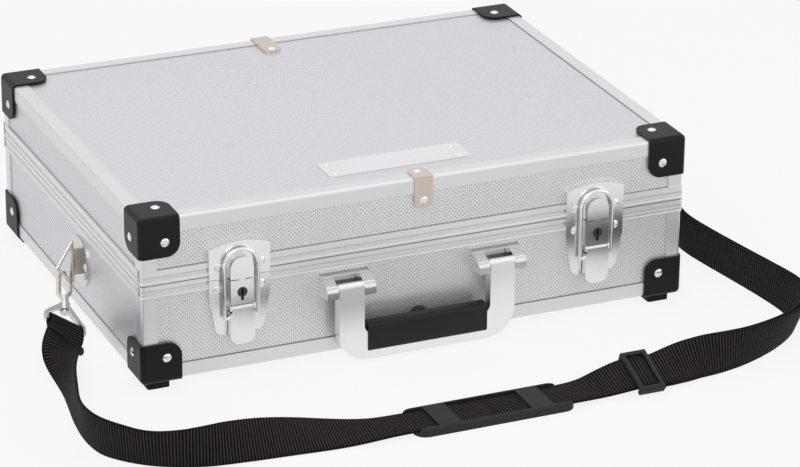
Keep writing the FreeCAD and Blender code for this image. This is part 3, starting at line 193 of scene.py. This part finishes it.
def sheetOf(first, second, light, dark, dotShade):
    def build(at, uv):
        turn = 2 * math.pi / (lattice["pitch"] * math.sqrt(2) * mm)
        rising = ((at.part(first) + at.part(second)) * turn).cos()
        falling = ((at.part(first) - at.part(second)) * turn).cos()
        # each lattice dot darkens the colour as painted shade of the embossing, besides its bump
        dotsAndTheirShade = (rising + falling).step(lattice["dotLow"], lattice["dotHigh"])
        cloud = at.noise(lattice["cloud"], 3.0, 0.5)
        grain = at.noise(lattice["grain"], 2.0, 0.6)
        tone = dotsAndTheirShade * dotShade + (cloud - 0.5) * lattice["cloudShare"] + (grain - 0.5) * lattice["grainShare"]
        # painted shadow along the profiles' and rims' edges, mixed over the sheet's colour
        seamShadow = (seamShadowsAlong(at, first) + seamShadowsAlong(at, second)).least(1.0) * seamShadows["share"]
        return {
            "colour": seamShadow.between(tone.between(light, dark), seamShadows["colour"]),
            "roughness": lattice["rough"] + cloud * lattice["cloudRough"] + dotsAndTheirShade * lattice["dotRough"],
            "height": -dotsAndTheirShade,
            "depth": lattice["depth"] * mm,
            "strength": lattice["strength"],
        }
    return build


# drawn aluminium with fine lines along the profile
drawn = {
    "fine": 90.0, "along": 1.5, "scale": 12.0, "cloud": 14.0, "lineShare": 0.5, "cloudShare": 0.3, "base": 0.35,
    "light": (0.80, 0.80, 0.805), "dark": (0.66, 0.665, 0.68), "rough": 0.30, "lineRough": 0.16, "depth": 0.02,
}


def profileOf(axis):
    def build(at, uv):
        stretch = [drawn["fine"]] * 3
        stretch["XYZ".index(axis)] = drawn["along"]
        lines = at.noise(drawn["scale"], 3.0, 0.6, stretch)
        cloud = at.noise(drawn["cloud"], 2.0)
        tone = (lines - 0.5) * drawn["lineShare"] + (cloud - 0.5) * drawn["cloudShare"] + drawn["base"]
        return {
            "colour": tone.between(drawn["light"], drawn["dark"]),
            "roughness": drawn["rough"] + lines * drawn["lineRough"],
            "height": lines,
            "depth": drawn["depth"] * mm,
        }
    return build


# the rim's extrusion: its steps above and below the parting line, painted darker as shade in their recesses, and
# the parting line itself, painted as a dark line of shade in its gap
rim = {
    "steps": ((2.2, 5.6), (-8.6, -4.4), (-13.6, -11.4)), "soft": 0.25, "stepShade": 0.20,
    "scale": 16.0, "stretch": (3.0, 3.0, 70.0), "lineShare": 0.24, "base": 0.18,
    "light": (0.83, 0.83, 0.835), "dark": (0.62, 0.625, 0.64), "seamHalf": 0.4, "seamShare": 0.85,
    "seamShadow": (0.08, 0.08, 0.09), "rough": 0.28, "lineRough": 0.14, "depth": 0.5, "strength": 0.7,
}


def rimOf(at, uv):
    height = at.millimetres("Z") - case["parting"]
    bands = [height.inside(low, high, rim["soft"]) for low, high in rim["steps"]]
    steps = bands[0] + bands[1] + bands[2]
    lines = at.noise(rim["scale"], 3.0, 0.6, rim["stretch"])
    # the recessed steps painted darker: painted shade
    tone = steps * rim["stepShade"] + (lines - 0.5) * rim["lineShare"] + rim["base"]
    # the parting line: a painted dark line of shade in the gap between lid and base
    seamShadow = seamShadowAt(height, 0.0, rim["seamHalf"]) * rim["seamShare"]
    return {
        "colour": seamShadow.between(tone.between(rim["light"], rim["dark"]), rim["seamShadow"]),
        "roughness": rim["rough"] + lines * rim["lineRough"],
        "height": -steps,
        "depth": rim["depth"] * mm,
        "strength": rim["strength"],
    }


# brushed metal: lines by the given scale and stretch, under a cloud
brush = {"cloud": 20.0, "lineShare": 0.7, "cloudShare": 0.5, "base": 0.2, "lineRough": 0.08, "cloudRough": 0.10,
         "depth": 0.012}


def brushed(light, dark, scale, rough, stretch):
    def build(at, uv):
        lines = at.noise(scale, 3.0, 0.6, stretch)
        cloud = at.noise(brush["cloud"], 3.0, 0.55)
        tone = lines * brush["lineShare"] + cloud * brush["cloudShare"] - brush["base"]
        return {
            "colour": tone.between(light, dark),
            "roughness": rough + lines * brush["lineRough"] + cloud * brush["cloudRough"],
            "height": lines,
            "depth": brush["depth"] * mm,
        }
    return build


# bright plating with faint wipe marks
plating = {"cloud": 28.0, "marks": 120.0, "stretch": (1.0, 3.0, 0.5), "cloudShare": 0.7, "markShare": 0.3,
           "cloudRough": 0.05, "markRough": 0.03, "depth": 0.004, "strength": 0.15}


def platedSteel(light, dark, rough):
    def build(at, uv):
        cloud = at.noise(plating["cloud"], 3.0, 0.5)
        marks = at.noise(plating["marks"], 2.0, 0.5, plating["stretch"])
        tone = cloud * plating["cloudShare"] + marks * plating["markShare"]
        return {
            "colour": tone.between(light, dark),
            "roughness": rough + cloud * plating["cloudRough"] + marks * plating["markRough"],
            "height": cloud,
            "depth": plating["depth"] * mm,
            "strength": plating["strength"],
        }
    return build


# the keyhole in the lock box, and the one in the plug, painted dark as the shade in the opening: their half widths
# and heights
lockBox = {"half": (0.9, 1.15), "low": 62.7, "high": 69.0, "soft": 0.2, "front": (-152.0, -151.0),
           "light": (0.86, 0.855, 0.86), "dark": (0.78, 0.775, 0.785), "rough": 0.15,
           "slot": (0.01, 0.01, 0.01), "slotRough": 0.4}
plug = {"half": (0.5, 0.75), "low": 66.2, "high": 71.6, "soft": 0.2, "grain": 900.0, "light": (0.06, 0.06, 0.062),
        "dark": (0.004, 0.004, 0.004), "slotShare": 0.9, "grainShare": 0.1, "rough": 0.3, "grainRough": 0.1,
        "slotRough": 0.4, "depth": 0.6}


def slotOf(at, shape):
    offset = abs(abs(at.millimetres("X")) - case["lockX"])
    height = at.millimetres("Z").inside(shape["low"], shape["high"], shape["soft"])
    return (1 - offset.step(*shape["half"])) * height


def lockFront(at, uv):
    base = platedSteel(lockBox["light"], lockBox["dark"], lockBox["rough"])(at, uv)
    # the keyhole painted nearly black on the box's front: painted shade in the opening
    slot = slotOf(at, lockBox) * (1 - at.millimetres("Y").step(*lockBox["front"]))
    base["colour"] = slot.between(base["colour"], lockBox["slot"])
    base["roughness"] = base["roughness"] + slot * lockBox["slotRough"]
    return base


def plugFace(at, uv):
    slot = slotOf(at, plug)
    grain = at.noise(plug["grain"], 2.0)
    # the plug's keyhole painted dark as shade, besides its bump
    tone = slot * plug["slotShare"] + grain * plug["grainShare"]
    return {
        "colour": tone.between(plug["light"], plug["dark"]),
        "roughness": plug["rough"] + grain * plug["grainRough"] + slot * plug["slotRough"],
        "height": -slot,
        "depth": plug["depth"] * mm,
    }


# moulded plastic and rubber
moulding = {"cloud": 25.0, "share": 0.5, "grainRough": 0.10, "cloudRough": 0.08}


def mouldedBlack(low, high, scale, rough, depth):
    def build(at, uv):
        grain = at.noise(scale, 3.0, 0.6)
        cloud = at.noise(moulding["cloud"], 2.0)
        tone = grain * moulding["share"] + cloud * moulding["share"]
        return {
            "colour": tone.between(low, high),
            "roughness": rough + grain * moulding["grainRough"] + (cloud - 0.5) * moulding["cloudRough"],
            "height": grain,
            "depth": depth * mm,
        }
    return build


felt = {"pile": 1400.0, "cloud": 35.0, "pileShare": 0.6, "cloudShare": 0.4, "dark": (0.014, 0.014, 0.016),
        "light": (0.075, 0.075, 0.08), "depth": 0.25}


def feltOf(at, uv):
    pile = at.noise(felt["pile"], 3.0, 0.7)
    cloud = at.noise(felt["cloud"], 3.0)
    tone = pile * felt["pileShare"] + cloud * felt["cloudShare"]
    return {"colour": tone.between(felt["dark"], felt["light"]), "height": pile, "depth": felt["depth"] * mm}


# the webbing: u runs along the band and v across it, both in metres; its ribs are painted light on their tops and
# dark between them, as painted highlight and shade of the weave
weave = {
    "rib": 2.22, "cord": 1.5, "sway": 0.35, "ribLow": 0.25, "threadShare": 0.35,
    "edge": (13.4, 14.0), "edgeShade": 0.5,
    "fuzz": 2600.0, "fuzzShare": 0.30, "cloud": 40.0, "cloudShare": 0.12, "ribLightAndShade": 0.9,
    "low": (0.0015, 0.0014, 0.0015), "high": (0.080, 0.070, 0.065),
    "rough": 0.62, "fuzzRough": 0.15, "fuzzHeight": 0.2, "depth": 0.45,
}


def webbingOf(at, uv):
    along = uv.part("X") * (2 * math.pi / (weave["rib"] * mm))
    across = uv.part("Y") * (2 * math.pi / (weave["cord"] * mm))
    ribs = ((along + across.cos() * weave["sway"]).cos() * 0.5 + 0.5).step(weave["ribLow"], 1.0)
    threads = across.cos() * 0.5 + 0.5
    edge = (abs(uv.part("Y")) * 1000.0).step(*weave["edge"])
    height = ribs * (threads * weave["threadShare"] + (1 - weave["threadShare"]))
    fuzz = uv.noise(weave["fuzz"], 2.0, 0.6)
    cloud = at.noise(weave["cloud"], 3.0)
    # painted light and shade: the raised ribs and threads lighter, the hollows and the band's edges darker
    tone = height * (1 - edge * weave["edgeShade"]) * weave["ribLightAndShade"]
    tone = tone + (fuzz - 0.5) * weave["fuzzShare"] + (cloud - 0.5) * weave["cloudShare"]
    return {
        "colour": tone.node("ShaderNodeClamp", None, {"Value": tone}).between(weave["low"], weave["high"]),
        "roughness": weave["rough"] + fuzz * weave["fuzzRough"],
        "height": height + fuzz * weave["fuzzHeight"],
        "depth": weave["depth"] * mm,
    }


print("mixing the finishes")
# each sheet: its two ways, its light and dark colours and how much painted shade each lattice dot takes; the
# front's are painted darker than the sides' and the top's, as lit and shaded copies of one sheet
sheets = {
    "sheetFront": ((0.7, 0.7, 0.71), ("X", "Z", (0.80, 0.80, 0.815), (0.27, 0.27, 0.29), 0.5)),
    "sheetSide": ((0.7, 0.7, 0.72), ("Y", "Z", (0.76, 0.76, 0.79), (0.50, 0.50, 0.53), 0.78)),
    "sheetTop": ((0.7, 0.7, 0.73), ("X", "Y", (0.76, 0.76, 0.80), (0.52, 0.52, 0.56), 0.72)),
}
# each plated piece: the material's name, its flat colour, its light and dark colours and its roughness
plated = {
    "rivet": ("rivetHead", (0.8, 0.79, 0.77), ((0.86, 0.85, 0.83), (0.70, 0.68, 0.66), 0.20)),
    "hinge": ("hingeChrome", (0.8, 0.8, 0.81), ((0.84, 0.84, 0.85), (0.70, 0.70, 0.72), 0.13)),
    "bow": ("bowChrome", (0.8, 0.8, 0.82), ((0.91, 0.905, 0.91), (0.83, 0.825, 0.83), 0.26)),
    "hardware": ("nickel", (0.66, 0.63, 0.6), ((0.74, 0.71, 0.675), (0.58, 0.55, 0.52), 0.16)),
}
# each moulded piece: name, flat colour, dark and light colours, grain, roughness, depth, and how much it reflects
moulded = {
    "cap": ("capBlack", (0.02, 0.02, 0.02),
            ((0.006, 0.006, 0.0065), (0.013, 0.013, 0.0135), 900.0, 0.36, 0.02), 0.18),
    "foot": ("footRubber", (0.02, 0.02, 0.02),
             ((0.009, 0.009, 0.009), (0.02, 0.02, 0.02), 600.0, 0.65, 0.06), 0.2),
    "grip": ("gripBlack", (0.02, 0.02, 0.02),
             ((0.008, 0.008, 0.008), (0.018, 0.018, 0.018), 1300.0, 0.40, 0.03), 0.25),
    "pad": ("padGrey", (0.06, 0.06, 0.062),
            ((0.018, 0.0175, 0.0175), (0.036, 0.035, 0.035), 1500.0, 0.5, 0.04), 0.22),
}
# each brushed piece: name, flat colour, light and dark colours, the lines' scale, roughness and stretch, metal
brushedPieces = {
    "pin": ("pinSteel", (0.6, 0.6, 0.62),
            ((0.68, 0.68, 0.70), (0.48, 0.48, 0.50), 60.0, 0.25, (1, 12, 12)), 1.0),
    "clip": ("clipSatin", (0.74, 0.71, 0.69),
             ((0.70, 0.62, 0.565), (0.61, 0.53, 0.475), 40.0, 0.34, (30, 30, 2)), 0.75),
    "plate": ("plateBare", (0.82, 0.82, 0.83),
              ((0.86, 0.86, 0.865), (0.72, 0.72, 0.735), 30.0, 0.26, (1.5, 60, 60)), 0.9),
}
finishes = {
    "profileX": newMaterial("profileX", (0.75, 0.75, 0.76), profileOf("X"), 0.85),
    "profileZ": newMaterial("profileZ", (0.75, 0.75, 0.76), profileOf("Z"), 0.85),
    "rim": newMaterial("rimSteps", (0.76, 0.76, 0.77), rimOf, 0.85),
    "liner": newMaterial("feltBlack", (0.03, 0.03, 0.03), feltOf, 0.0, 0.95),
    "latch": newMaterial("latchChrome", (0.82, 0.82, 0.83), lockFront, 1.0),
    "plug": newMaterial("plugFace", (0.04, 0.04, 0.04), plugFace, 0.6),
    "webbing": newMaterial("webbingBlack", (0.02, 0.02, 0.02), webbingOf, Specular_IOR_Level=0.08),
}
for key, (colour, look) in sheets.items():
    finishes[key] = newMaterial(key, colour, sheetOf(*look), 0.75)
for key, (label, colour, look) in plated.items():
    finishes[key] = newMaterial(label, colour, platedSteel(*look), 1.0)
for key, (label, colour, look, shine) in moulded.items():
    finishes[key] = newMaterial(label, colour, mouldedBlack(*look), Specular_IOR_Level=shine)
for key, (label, colour, look, metal) in brushedPieces.items():
    finishes[key] = newMaterial(label, colour, brushed(*look), metal)

slots = {entry["node"]: entry["material_slot"] for entry in frame["record"]["subparts"]}
directions = {"front": "sheetFront", "back": "sheetFront", "left": "sheetSide", "right": "sheetSide",
              "top": "sheetTop", "bottom": "sheetTop"}
for nodeName, finish in slots.items():
    if finish == "panel":
        finish = directions[nodeName.split("_")[1]]
    elif nodeName.endswith("_rim"):
        finish = "rim"
    elif nodeName == "edge_clips":
        finish = "clip"
    elif finish == "profile":
        finish = "profileZ" if "corner" in nodeName else "profileX"
    mesh = frame["nodes"][nodeName].data
    mesh.materials.clear()
    mesh.materials.append(finishes[finish])

# the band's routes: each point's place, and the lean of the band's width in degrees
band = {"width": 29.0, "thickness": 1.5, "columns": 6, "resolution": 14, "order": 3}
bandRoute = [
    (-235.8, -66.0, 18.8, -39), (-236.8, -69.6, 16.7, -41), (-240.8, -76.4, 15.3, -43), (-246.8, -89.0, 13.4, -24),
    (-249.4, -109.5, 13.8, 43), (-254.6, -132.5, 14.6, 69), (-260.4, -153.9, 14.9, 80), (-265.8, -177.8, 15.0, 85),
    (-270.4, -203.0, 15.0, 95), (-269.5, -220.4, 15.0, 96), (-265.8, -233.8, 15.0, 95), (-256.2, -248.0, 15.0, 98),
    (-243.0, -261.5, 14.5, 104), (-224.8, -269.8, 14.7, 98), (-208.0, -273.2, 15.0, 86), (-190.0, -272.7, 14.3, 70),
    (-172.5, -271.4, 12.6, 55), (-155.0, -270.4, 10.6, 42), (-138.0, -270.4, 8.6, 31), (-121.0, -271.2, 6.6, 21),
    (-104.0, -272.2, 5.1, 12), (-88.0, -272.6, 4.3, 4), (-74.0, -272.6, 4.1, 0), (-40.0, -272.6, 4.1, 0),
    (0.0, -272.6, 4.1, 0), (40.0, -272.6, 4.1, 0), (72.0, -272.6, 4.1, 0), (88.0, -272.8, 7.2, 12),
    (104.5, -273.0, 10.3, 21), (109.5, -273.0, 10.5, 21), (114.5, -273.3, 11.3, 21), (118.0, -273.7, 12.3, 21),
    (121.5, -273.3, 11.3, 21), (126.5, -273.0, 10.5, 21), (131.5, -273.0, 10.5, 21), (145.0, -273.0, 12.4, 36),
    (158.0, -273.8, 14.2, 56), (170.0, -274.7, 15.1, 73), (184.0, -275.2, 15.3, 87), (204.0, -271.8, 15.0, 97),
    (228.0, -262.9, 14.7, 104), (249.4, -251.2, 14.2, 110), (265.6, -236.8, 14.1, 111), (274.4, -220.5, 14.3, 108),
    (276.0, -203.0, 14.6, 102), (272.2, -177.0, 15.0, 95), (267.4, -145.5, 15.0, 91), (262.3, -114.0, 15.0, 90),
    (257.9, -86.0, 15.3, 90), (257.0, -72.0, 15.6, 90), (257.9, -62.0, 15.9, 90), (256.9, -55.6, 16.8, 90),
    (254.2, -52.8, 18.8, 90),
]
returnRoute = [
    (252.6, -54.8, 18.6, 90), (254.9, -57.2, 16.8, 90), (255.3, -62.4, 15.9, 90), (254.4, -72.1, 15.6, 90),
    (255.3, -86.3, 15.3, 90), (259.7, -114.4, 15.0, 90), (264.8, -145.9, 15.0, 89), (269.6, -177.5, 15.0, 86),
    (273.2, -203.2, 14.7, 79), (271.4, -219.4, 14.5, 73), (263.1, -234.6, 14.3, 70), (247.7, -248.8, 14.3, 70),
    (226.7, -260.4, 14.7, 76), (203.2, -269.0, 15.0, 83), (183.9, -272.5, 15.2, 93), (170.2, -272.2, 14.4, 107),
    (158.2, -271.8, 12.9, 124), (145.2, -271.6, 10.5, 144), (131.5, -272.1, 8.1, 159), (121.9, -272.1, 8.1, 159),
]


def smoothLine(points):
    # the points of the NURBS spline that has these control points
    curve = bpy.data.curves.new("route", "CURVE")
    curve.dimensions = "3D"
    spline = curve.splines.new("NURBS")
    spline.points.add(len(points) - 1)
    for spot, point in zip(spline.points, points):
        spot.co = (*point, 1)
    spline.order_u = band["order"]
    spline.use_endpoint_u = True
    spline.resolution_u = band["resolution"]
    holder = bpy.data.objects.new("route", curve)
    line = bpy.data.meshes.new_from_object(holder)
    found = [vertex.co.copy() for vertex in line.vertices]
    bpy.data.objects.remove(holder)
    bpy.data.curves.remove(curve)
    bpy.data.meshes.remove(line)
    return found


def acrossOf(route):
    # the points of a route, and which way the band's width points at each of them
    points = [Vector(entry[:3]) for entry in route]
    found = []
    for number, entry in enumerate(route):
        before, after = points[max(number - 1, 0)], points[min(number + 1, len(points) - 1)]
        along = (after - before).normalized()
        side = Vector((0, 0, 1)).cross(along).normalized()
        up = along.cross(side)
        lean = math.radians(entry[3])
        found.append(side * math.cos(lean) + up * math.sin(lean))
    return points, found


def layBand(name, points, across, startRun=0.0):
    # a flat band along the smooth line, its width held by a second smooth line
    half = band["width"] / 2
    centre = smoothLine([place(*point) for point in points])
    rail = smoothLine([place(*(point + way * half)) for point, way in zip(points, across)])
    runs = [startRun]
    for first, second in zip(centre, centre[1:]):
        runs.append(runs[-1] + (second - first).length)
    mesh = bmesh.new()
    rows = len(centre) - 1
    bmesh.ops.create_grid(mesh, x_segments=rows, y_segments=band["columns"], size=1.0)
    layer = mesh.loops.layers.uv.new("band")
    spots = {}
    for vertex in mesh.verts:
        row = round((vertex.co.x + 1) / 2 * rows)
        share = vertex.co.y
        spots[vertex] = (runs[row], share * half * mm)
        vertex.co = centre[row] + (rail[row] - centre[row]).normalized() * (share * half * mm)
    for face in mesh.faces:
        face.smooth = True
        for loop in face.loops:
            loop[layer].uv = spots[loop.vert]
    data = bpy.data.meshes.new(name)
    mesh.to_mesh(data)
    mesh.free()
    piece = show(name, data)
    thick = piece.modifiers.new("thickness", "SOLIDIFY")
    thick.thickness = band["thickness"] * mm
    thick.offset = 0.0
    thick.use_even_offset = True
    data.materials.append(finishes["webbing"])
    return piece, centre, runs[-1]


print("rounding the moulded pieces")
rounded = {"merge": 0.004, "flat": 0.5, "segments": 3, "angle": 35.0, "soft": 1.1, "small": 0.9}


def softened(nodeName, body, width):
    # a merged copy of a CAD piece with its sharp edges rounded, in that piece's place
    data = frame["nodes"][nodeName].data.copy()
    mesh = bmesh.new()
    mesh.from_mesh(data)
    bmesh.ops.remove_doubles(mesh, verts=mesh.verts, dist=rounded["merge"] * mm)
    flat = math.radians(rounded["flat"])
    bmesh.ops.dissolve_limit(mesh, angle_limit=flat, verts=mesh.verts, edges=mesh.edges)
    for face in mesh.faces:
        face.smooth = True
    mesh.to_mesh(data)
    mesh.free()
    piece = show(nodeName + "Rounded", data)
    rounding = piece.modifiers.new("rounding", "BEVEL")
    rounding.width = width * mm
    rounding.segments = rounded["segments"]
    rounding.limit_method = "ANGLE"
    rounding.angle_limit = math.radians(rounded["angle"])
    rounding.harden_normals = True
    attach(piece, body)
    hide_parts(nodeName)
    return piece


softPad = softened("shoulder_pad", "pad", rounded["soft"])
softSlider = softened("strap_slider", "base", rounded["small"])
softened("handle_grip", "handle", rounded["small"])

print("laying the webbing")
points, across = acrossOf(bandRoute)
split = 25  # the pad hides where the two lengths of the band meet
leftBand, leftLine, leftRun = layBand("webbingLeft", points[:split], across[:split])
rightBand, rightLine, rightRun = layBand("webbingRight", points[split - 1:], across[split - 1:], leftRun)
points, across = acrossOf(returnRoute)
innerBand, innerLine, innerRun = layBand("webbingReturn", points, across)
for piece in (leftBand, rightBand, innerBand):
    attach(piece, "base")
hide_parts("strap_webbing")
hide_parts("strap_webbing")
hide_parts("strap_return")

print("folding the webbing round the eyes and the slider")
# each eye: where its hook hangs, the way along it, the way of its bar and the way out of its face
eyes = {
    "left": {"seat": (-221.770, -24.131, 40.525), "along": (-0.28470, -0.85089, -0.44151),
             "bar": (0.82086, 0.02148, -0.57073), "out": (0.49511, -0.52490, 0.69235)},
    "right": {"seat": (222.666, -21.528, 40.525), "along": (0.61877, -0.64977, -0.44151),
              "bar": (0.30447, -0.31973, 0.89726), "out": (-0.72417, -0.68962, 0.0)},
}
# the way round an eye's bar, along the eye and out of it; lap: how far the flap lies off the band
fold = {"round": [(48.5, 2.45), (45.6, 2.45), (43.8, 1.9), (43.4, 0.0), (43.8, -1.9), (45.6, -2.45),
                  (48.5, -2.45)],
        "lap": 1.7, "hem": 0.2}


def roundBar(side, sign):
    # the points of a loop over the eye's bar, from one face of the eye to the other
    seat, along, out = (Vector(eyes[side][key]) for key in ("seat", "along", "out"))
    return [seat + along * run + out * (sign * stand) for run, stand in fold["round"]]


leftStart, leftWays = acrossOf(bandRoute[:5])
leftBar, leftOut = Vector(eyes["left"]["bar"]), Vector(eyes["left"]["out"])
faces = []
for number in (1, 2):
    face = (leftStart[number + 1] - leftStart[number - 1]).cross(leftWays[number]).normalized()
    faces.append(face if face.dot(leftOut) > 0 else -face)
ways = [way if way.dot(leftBar) > 0 else -way for way in leftWays]
middle = (leftStart[1] + leftStart[2]) / 2
lap = fold["lap"]
flap = [leftStart[2] + faces[1] * lap, middle + faces[1] * lap, leftStart[1] + faces[0] * (lap + fold["hem"])]
under = [leftStart[1] - faces[0] * lap, middle - faces[1] * lap]
loopPoints = flap + roundBar("left", 1) + under
loopWays = [ways[2], ways[2], ways[1]] + [leftBar] * len(fold["round"]) + [ways[1], ways[2]]
leftFold = layBand("foldLeft", loopPoints, loopWays)[0]
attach(leftFold, "ring_left")

rightBar = Vector(eyes["right"]["bar"])
loopPoints = [Vector(bandRoute[-1][:3])] + roundBar("right", -1) + [Vector(returnRoute[0][:3])]
rightFold = layBand("foldRight", loopPoints, [rightBar] * len(loopPoints))[0]
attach(rightFold, "ring_right")

# the slider's place and tilt in degrees, and the way round its middle bar, along and out from the strap's middle
slider = {"at": (118.0, -273.0, 10.5), "tilt": 21.0,
          "round": [(6.0, -2.3), (3.6, -1.6), (1.6, -0.3), (-0.6, -0.2), (-2.7, -0.9), (-3.0, -2.15),
                    (-2.7, -3.4), (-0.6, -4.1), (3.0, -4.1), (8.0, -4.1), (13.0, -4.1)]}
tilt = math.radians(slider["tilt"])
sliderWay = Vector((0, math.cos(tilt), math.sin(tilt)))
sliderOut = Vector((0, -math.sin(tilt), math.cos(tilt)))
loopPoints = [Vector(slider["at"]) + Vector((run, 0, 0)) + sliderOut * stand for run, stand in slider["round"]]
sliderFold = layBand("foldSlider", loopPoints, [sliderWay] * len(loopPoints))[0]
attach(sliderFold, "base")


def hangingOn(side):
    # the loose metal pieces at one end of the strap
    return [f"{kind}_{side}" for kind in ("hook_eye", "strap_hook", "hook_gate", "strap_ring")]


[softPad, leftFold] + hangingOn("left")
round(rightRun - leftRun, 4)
[softSlider, rightFold, sliderFold] + hangingOn("right")

print("setting the studio")
# the greyer strip low in the world: its heights and soft edge, and its light, seen in the metal only
studio = {
    "floorWhite": 0.86, "floorHalf": 6.0, "floorColour": (0.8, 0.8, 0.8, 1), "white": (1, 1, 1, 1),
    "world": 0.5, "horizon": (0.03, 0.25, 0.05), "horizonLight": 0.5,
}
# each softbox: where it stands, what it looks at, its two sizes in metres and its watts
softboxes = {
    "keySoftbox": ((-1.1, -1.3, 1.9), (0, 0, 0.05), (1.4, 1.4), 13),
    "fillSoftbox": ((1.7, -1.2, 1.1), (0, 0, 0.05), (1.2, 1.2), 6),
    "topSoftbox": ((0.1, 0.5, 2.2), (0, 0, 0.1), (1.8, 1.4), 5),
}
for name, (spot, target, size, power) in softboxes.items():
    light = bpy.data.lights.new(name, "AREA")
    light.shape = "RECTANGLE"
    light.size, light.size_y = size
    light.energy = power
    holder = show(name, light)
    holder.location = spot
    holder.rotation_mode = "QUATERNION"
    holder.rotation_quaternion = (Vector(target) - Vector(spot)).to_track_quat("-Z", "Y")


def raysOf(tree):
    # 1 for what the camera sees, and 1 for what it sees straight, in a reflection or through something
    straight = Wire(tree, tree.nodes.new("ShaderNodeLightPath").outputs["Is Camera Ray"])
    outlets = straight.socket.node.outputs
    seen = straight + Wire(tree, outlets["Is Glossy Ray"]) + Wire(tree, outlets["Is Transmission Ray"])
    return straight, seen.least(1.0)


floorMesh = bmesh.new()
bmesh.ops.create_grid(floorMesh, x_segments=1, y_segments=1, size=studio["floorHalf"])
floorData = bpy.data.meshes.new("floor")
floorMesh.to_mesh(floorData)
floorMesh.free()
show("floor", floorData)
floorMaterial = bpy.data.materials.new("paleFloor")
floorMaterial.use_nodes = True
floorTree = floorMaterial.node_tree
floorTree.nodes.clear()
straight, seen = raysOf(floorTree)
matte = straight.node("ShaderNodeBsdfDiffuse", None, {"Color": studio["floorColour"]})
white = straight.node("ShaderNodeEmission", None, {"Color": studio["white"], "Strength": 1.0})
mixed = straight.node("ShaderNodeMixShader", None, {0: seen * studio["floorWhite"], 1: matte, 2: white})
floorTree.links.new(mixed.socket, floorTree.nodes.new("ShaderNodeOutputMaterial").inputs["Surface"])
floorData.materials.append(floorMaterial)

world = bpy.data.worlds.new("studioWorld")
world.use_nodes = True
bpy.context.scene.world = world
worldTree = world.node_tree
worldTree.nodes.clear()
straight, seen = raysOf(worldTree)
around = Wire(worldTree, worldTree.nodes.new("ShaderNodeTexCoord").outputs["Generated"])
horizon = around.part("Z").inside(*studio["horizon"]) * (1 - straight)
strength = studio["world"] + seen * (1.0 - studio["world"]) * (1 - horizon * (1 - studio["horizonLight"]))
shine = straight.node("ShaderNodeBackground", None, {"Color": studio["white"], "Strength": strength})
worldTree.links.new(shine.socket, worldTree.nodes.new("ShaderNodeOutputWorld").inputs["Surface"])

print("placing the camera")
shot = {"spot": (-951.3, -2294.0, 1091.4), "azimuth": 23.6226, "elevation": -23.1982, "roll": 0.4867,
        "lens": 162.42, "sensor": 36.0, "near": 0.1, "far": 50.0}
azimuth, elevation, roll = (math.radians(shot[key]) for key in ("azimuth", "elevation", "roll"))
level = math.cos(elevation)
forward = Vector((math.sin(azimuth) * level, math.cos(azimuth) * level, math.sin(elevation)))
right = forward.cross(Vector((0, 0, 1))).normalized()
up = right.cross(forward)
rightTurned = right * math.cos(roll) + up * math.sin(roll)
upTurned = up * math.cos(roll) - right * math.sin(roll)
lens = bpy.data.cameras.new("camera")
lens.lens = shot["lens"]
lens.sensor_width = shot["sensor"]
lens.clip_start, lens.clip_end = shot["near"], shot["far"]
camera = show("camera", lens)
pose = Matrix((rightTurned, upTurned, -forward)).transposed().to_4x4()
camera.matrix_world = Matrix.Translation(place(*shot["spot"])) @ pose
bpy.context.scene.camera = camera
bpy.context.scene.view_settings.view_transform = "Standard"

print("done")
